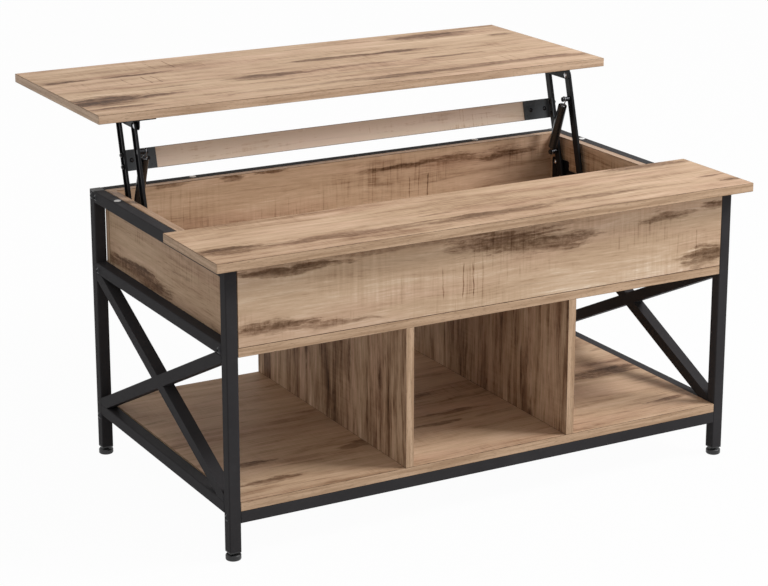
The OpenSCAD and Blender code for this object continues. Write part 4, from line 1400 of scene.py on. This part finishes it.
@dataclass
class Studio:
    """Pale floor, soft light and the camera at the photograph's angle."""

    picture_width: float = 768.0
    sensor: float = 36.0
    focal_px: float = 2220.4
    eye: Point = (-1.8188, -3.2957, 1.4267)
    yaw: float = 29.145
    pitch: float = -15.249
    shift: float = -0.10
    floor_half: float = 14.0
    floor_colour: Colour = (0.62, 0.62, 0.62, 1.0)
    floor_roughness: float = 0.9
    # How much of the floor shows plain white: the rest holds the object's shadow
    floor_white: float = 0.97
    world_colour: Colour = (1.0, 0.99, 0.975, 1.0)
    world_strength: float = 0.52
    key: Point = (3.05, -2.0, 3.75)
    key_target: Point = (0, 0, 0.35)
    key_side: float = 1.6
    key_watts: float = 195

    def camera(self) -> None:
        """Makes the camera."""
        data = bpy.data.cameras.new("camera")
        data.sensor_width = self.sensor
        data.sensor_fit = "HORIZONTAL"
        data.lens = self.focal_px * self.sensor / self.picture_width
        data.shift_y = self.shift
        data.clip_end = 100
        camera = bpy.data.objects.new("camera", data)
        camera.location = self.eye
        camera.rotation_euler = (math.radians(90 + self.pitch), 0, math.radians(-self.yaw))
        bpy.context.scene.collection.objects.link(camera)
        bpy.context.scene.camera = camera

    def lamp(self) -> None:
        """Makes the soft square lamp."""
        data = bpy.data.lights.new("key", "AREA")
        data.shape = "SQUARE"
        data.size = self.key_side
        data.energy = self.key_watts
        light = bpy.data.objects.new("key", data)
        light.location = self.key
        way = Vector(self.key_target) - Vector(self.key)
        light.rotation_euler = way.to_track_quat("-Z", "Y").to_euler()
        bpy.context.scene.collection.objects.link(light)

    def seen(self, nodes: Nodes) -> Socket:
        """Tells which rays show the background as it is: camera, gloss and clear plastic.

        Args:
            nodes: The builder of the tree that asks.

        Returns:
            1 for such a ray, else 0.
        """
        path = nodes.add("ShaderNodeLightPath").outputs
        through = nodes.maths("ADD", path["Is Glossy Ray"], path["Is Transmission Ray"])
        return nodes.maths("ADD", path["Is Camera Ray"], through, clamp=True)

    def world(self) -> None:
        """Makes the white surroundings."""
        world = bpy.data.worlds.new("studio")
        world.use_nodes = True
        bpy.context.scene.world = world
        nodes = Nodes(world.node_tree)
        lit = world.node_tree.nodes["Background"]
        lit.inputs["Color"].default_value = self.world_colour
        lit.inputs["Strength"].default_value = self.world_strength
        white = nodes.out("ShaderNodeBackground", {"Color": WHITE, "Strength": 1.0})
        nodes.feed(world.node_tree.nodes["World Output"].inputs[0],
                   nodes.shaders(self.seen(nodes), lit.outputs[0], white))

    def floor(self) -> None:
        """Makes the pale floor, nearly white with a soft shadow, and open when seen from below."""
        material = bpy.data.materials.new("studio_floor")
        material.use_nodes = True
        nodes = Nodes(material.node_tree)
        matt = material.node_tree.nodes["Principled BSDF"]
        matt.inputs["Base Color"].default_value = self.floor_colour
        matt.inputs["Roughness"].default_value = self.floor_roughness
        glow = nodes.out("ShaderNodeEmission", {"Color": WHITE, "Strength": 1.0})
        above = nodes.shaders(nodes.product(self.seen(nodes), self.floor_white), matt.outputs[0], glow)
        below = nodes.maths("MULTIPLY", nodes.add("ShaderNodeLightPath").outputs["Is Camera Ray"],
                            nodes.add("ShaderNodeNewGeometry").outputs["Backfacing"])
        nodes.feed(material.node_tree.nodes["Material Output"].inputs[0],
                   nodes.shaders(below, above, nodes.out("ShaderNodeBsdfTransparent")))
        shape = bmesh.new()
        half = self.floor_half
        shape.faces.new([shape.verts.new((x * half, y * half, 0.0))
                         for x, y in ((-1, -1), (1, -1), (1, 1), (-1, 1))])
        finish_mesh("studio_floor", shape, (material,))

    def build(self) -> None:
        """Sets up the studio."""
        bpy.context.scene.view_settings.view_transform = "Standard"
        self.camera()
        self.world()
        self.floor()
        self.lamp()


def main() -> None:
    """Builds every part of the scene in order."""
    logging.basicConfig(level=logging.INFO, format="%(name)s: %(message)s")
    for effect in EFFECTS:
        effect()
    arms = at(0.0, *REAR_PIVOT), math.radians(ARM_ANGLE - 90)
    for part in (Studio(), Tops(), StorageBox(), ShelfBay(), SteelFrame(), PanelScrews(), Bumpers(),
                 LiftMechanism(), Crossbar(*arms), Springs(*arms)):
        part.build()


if __name__ == "__main__":
    main()
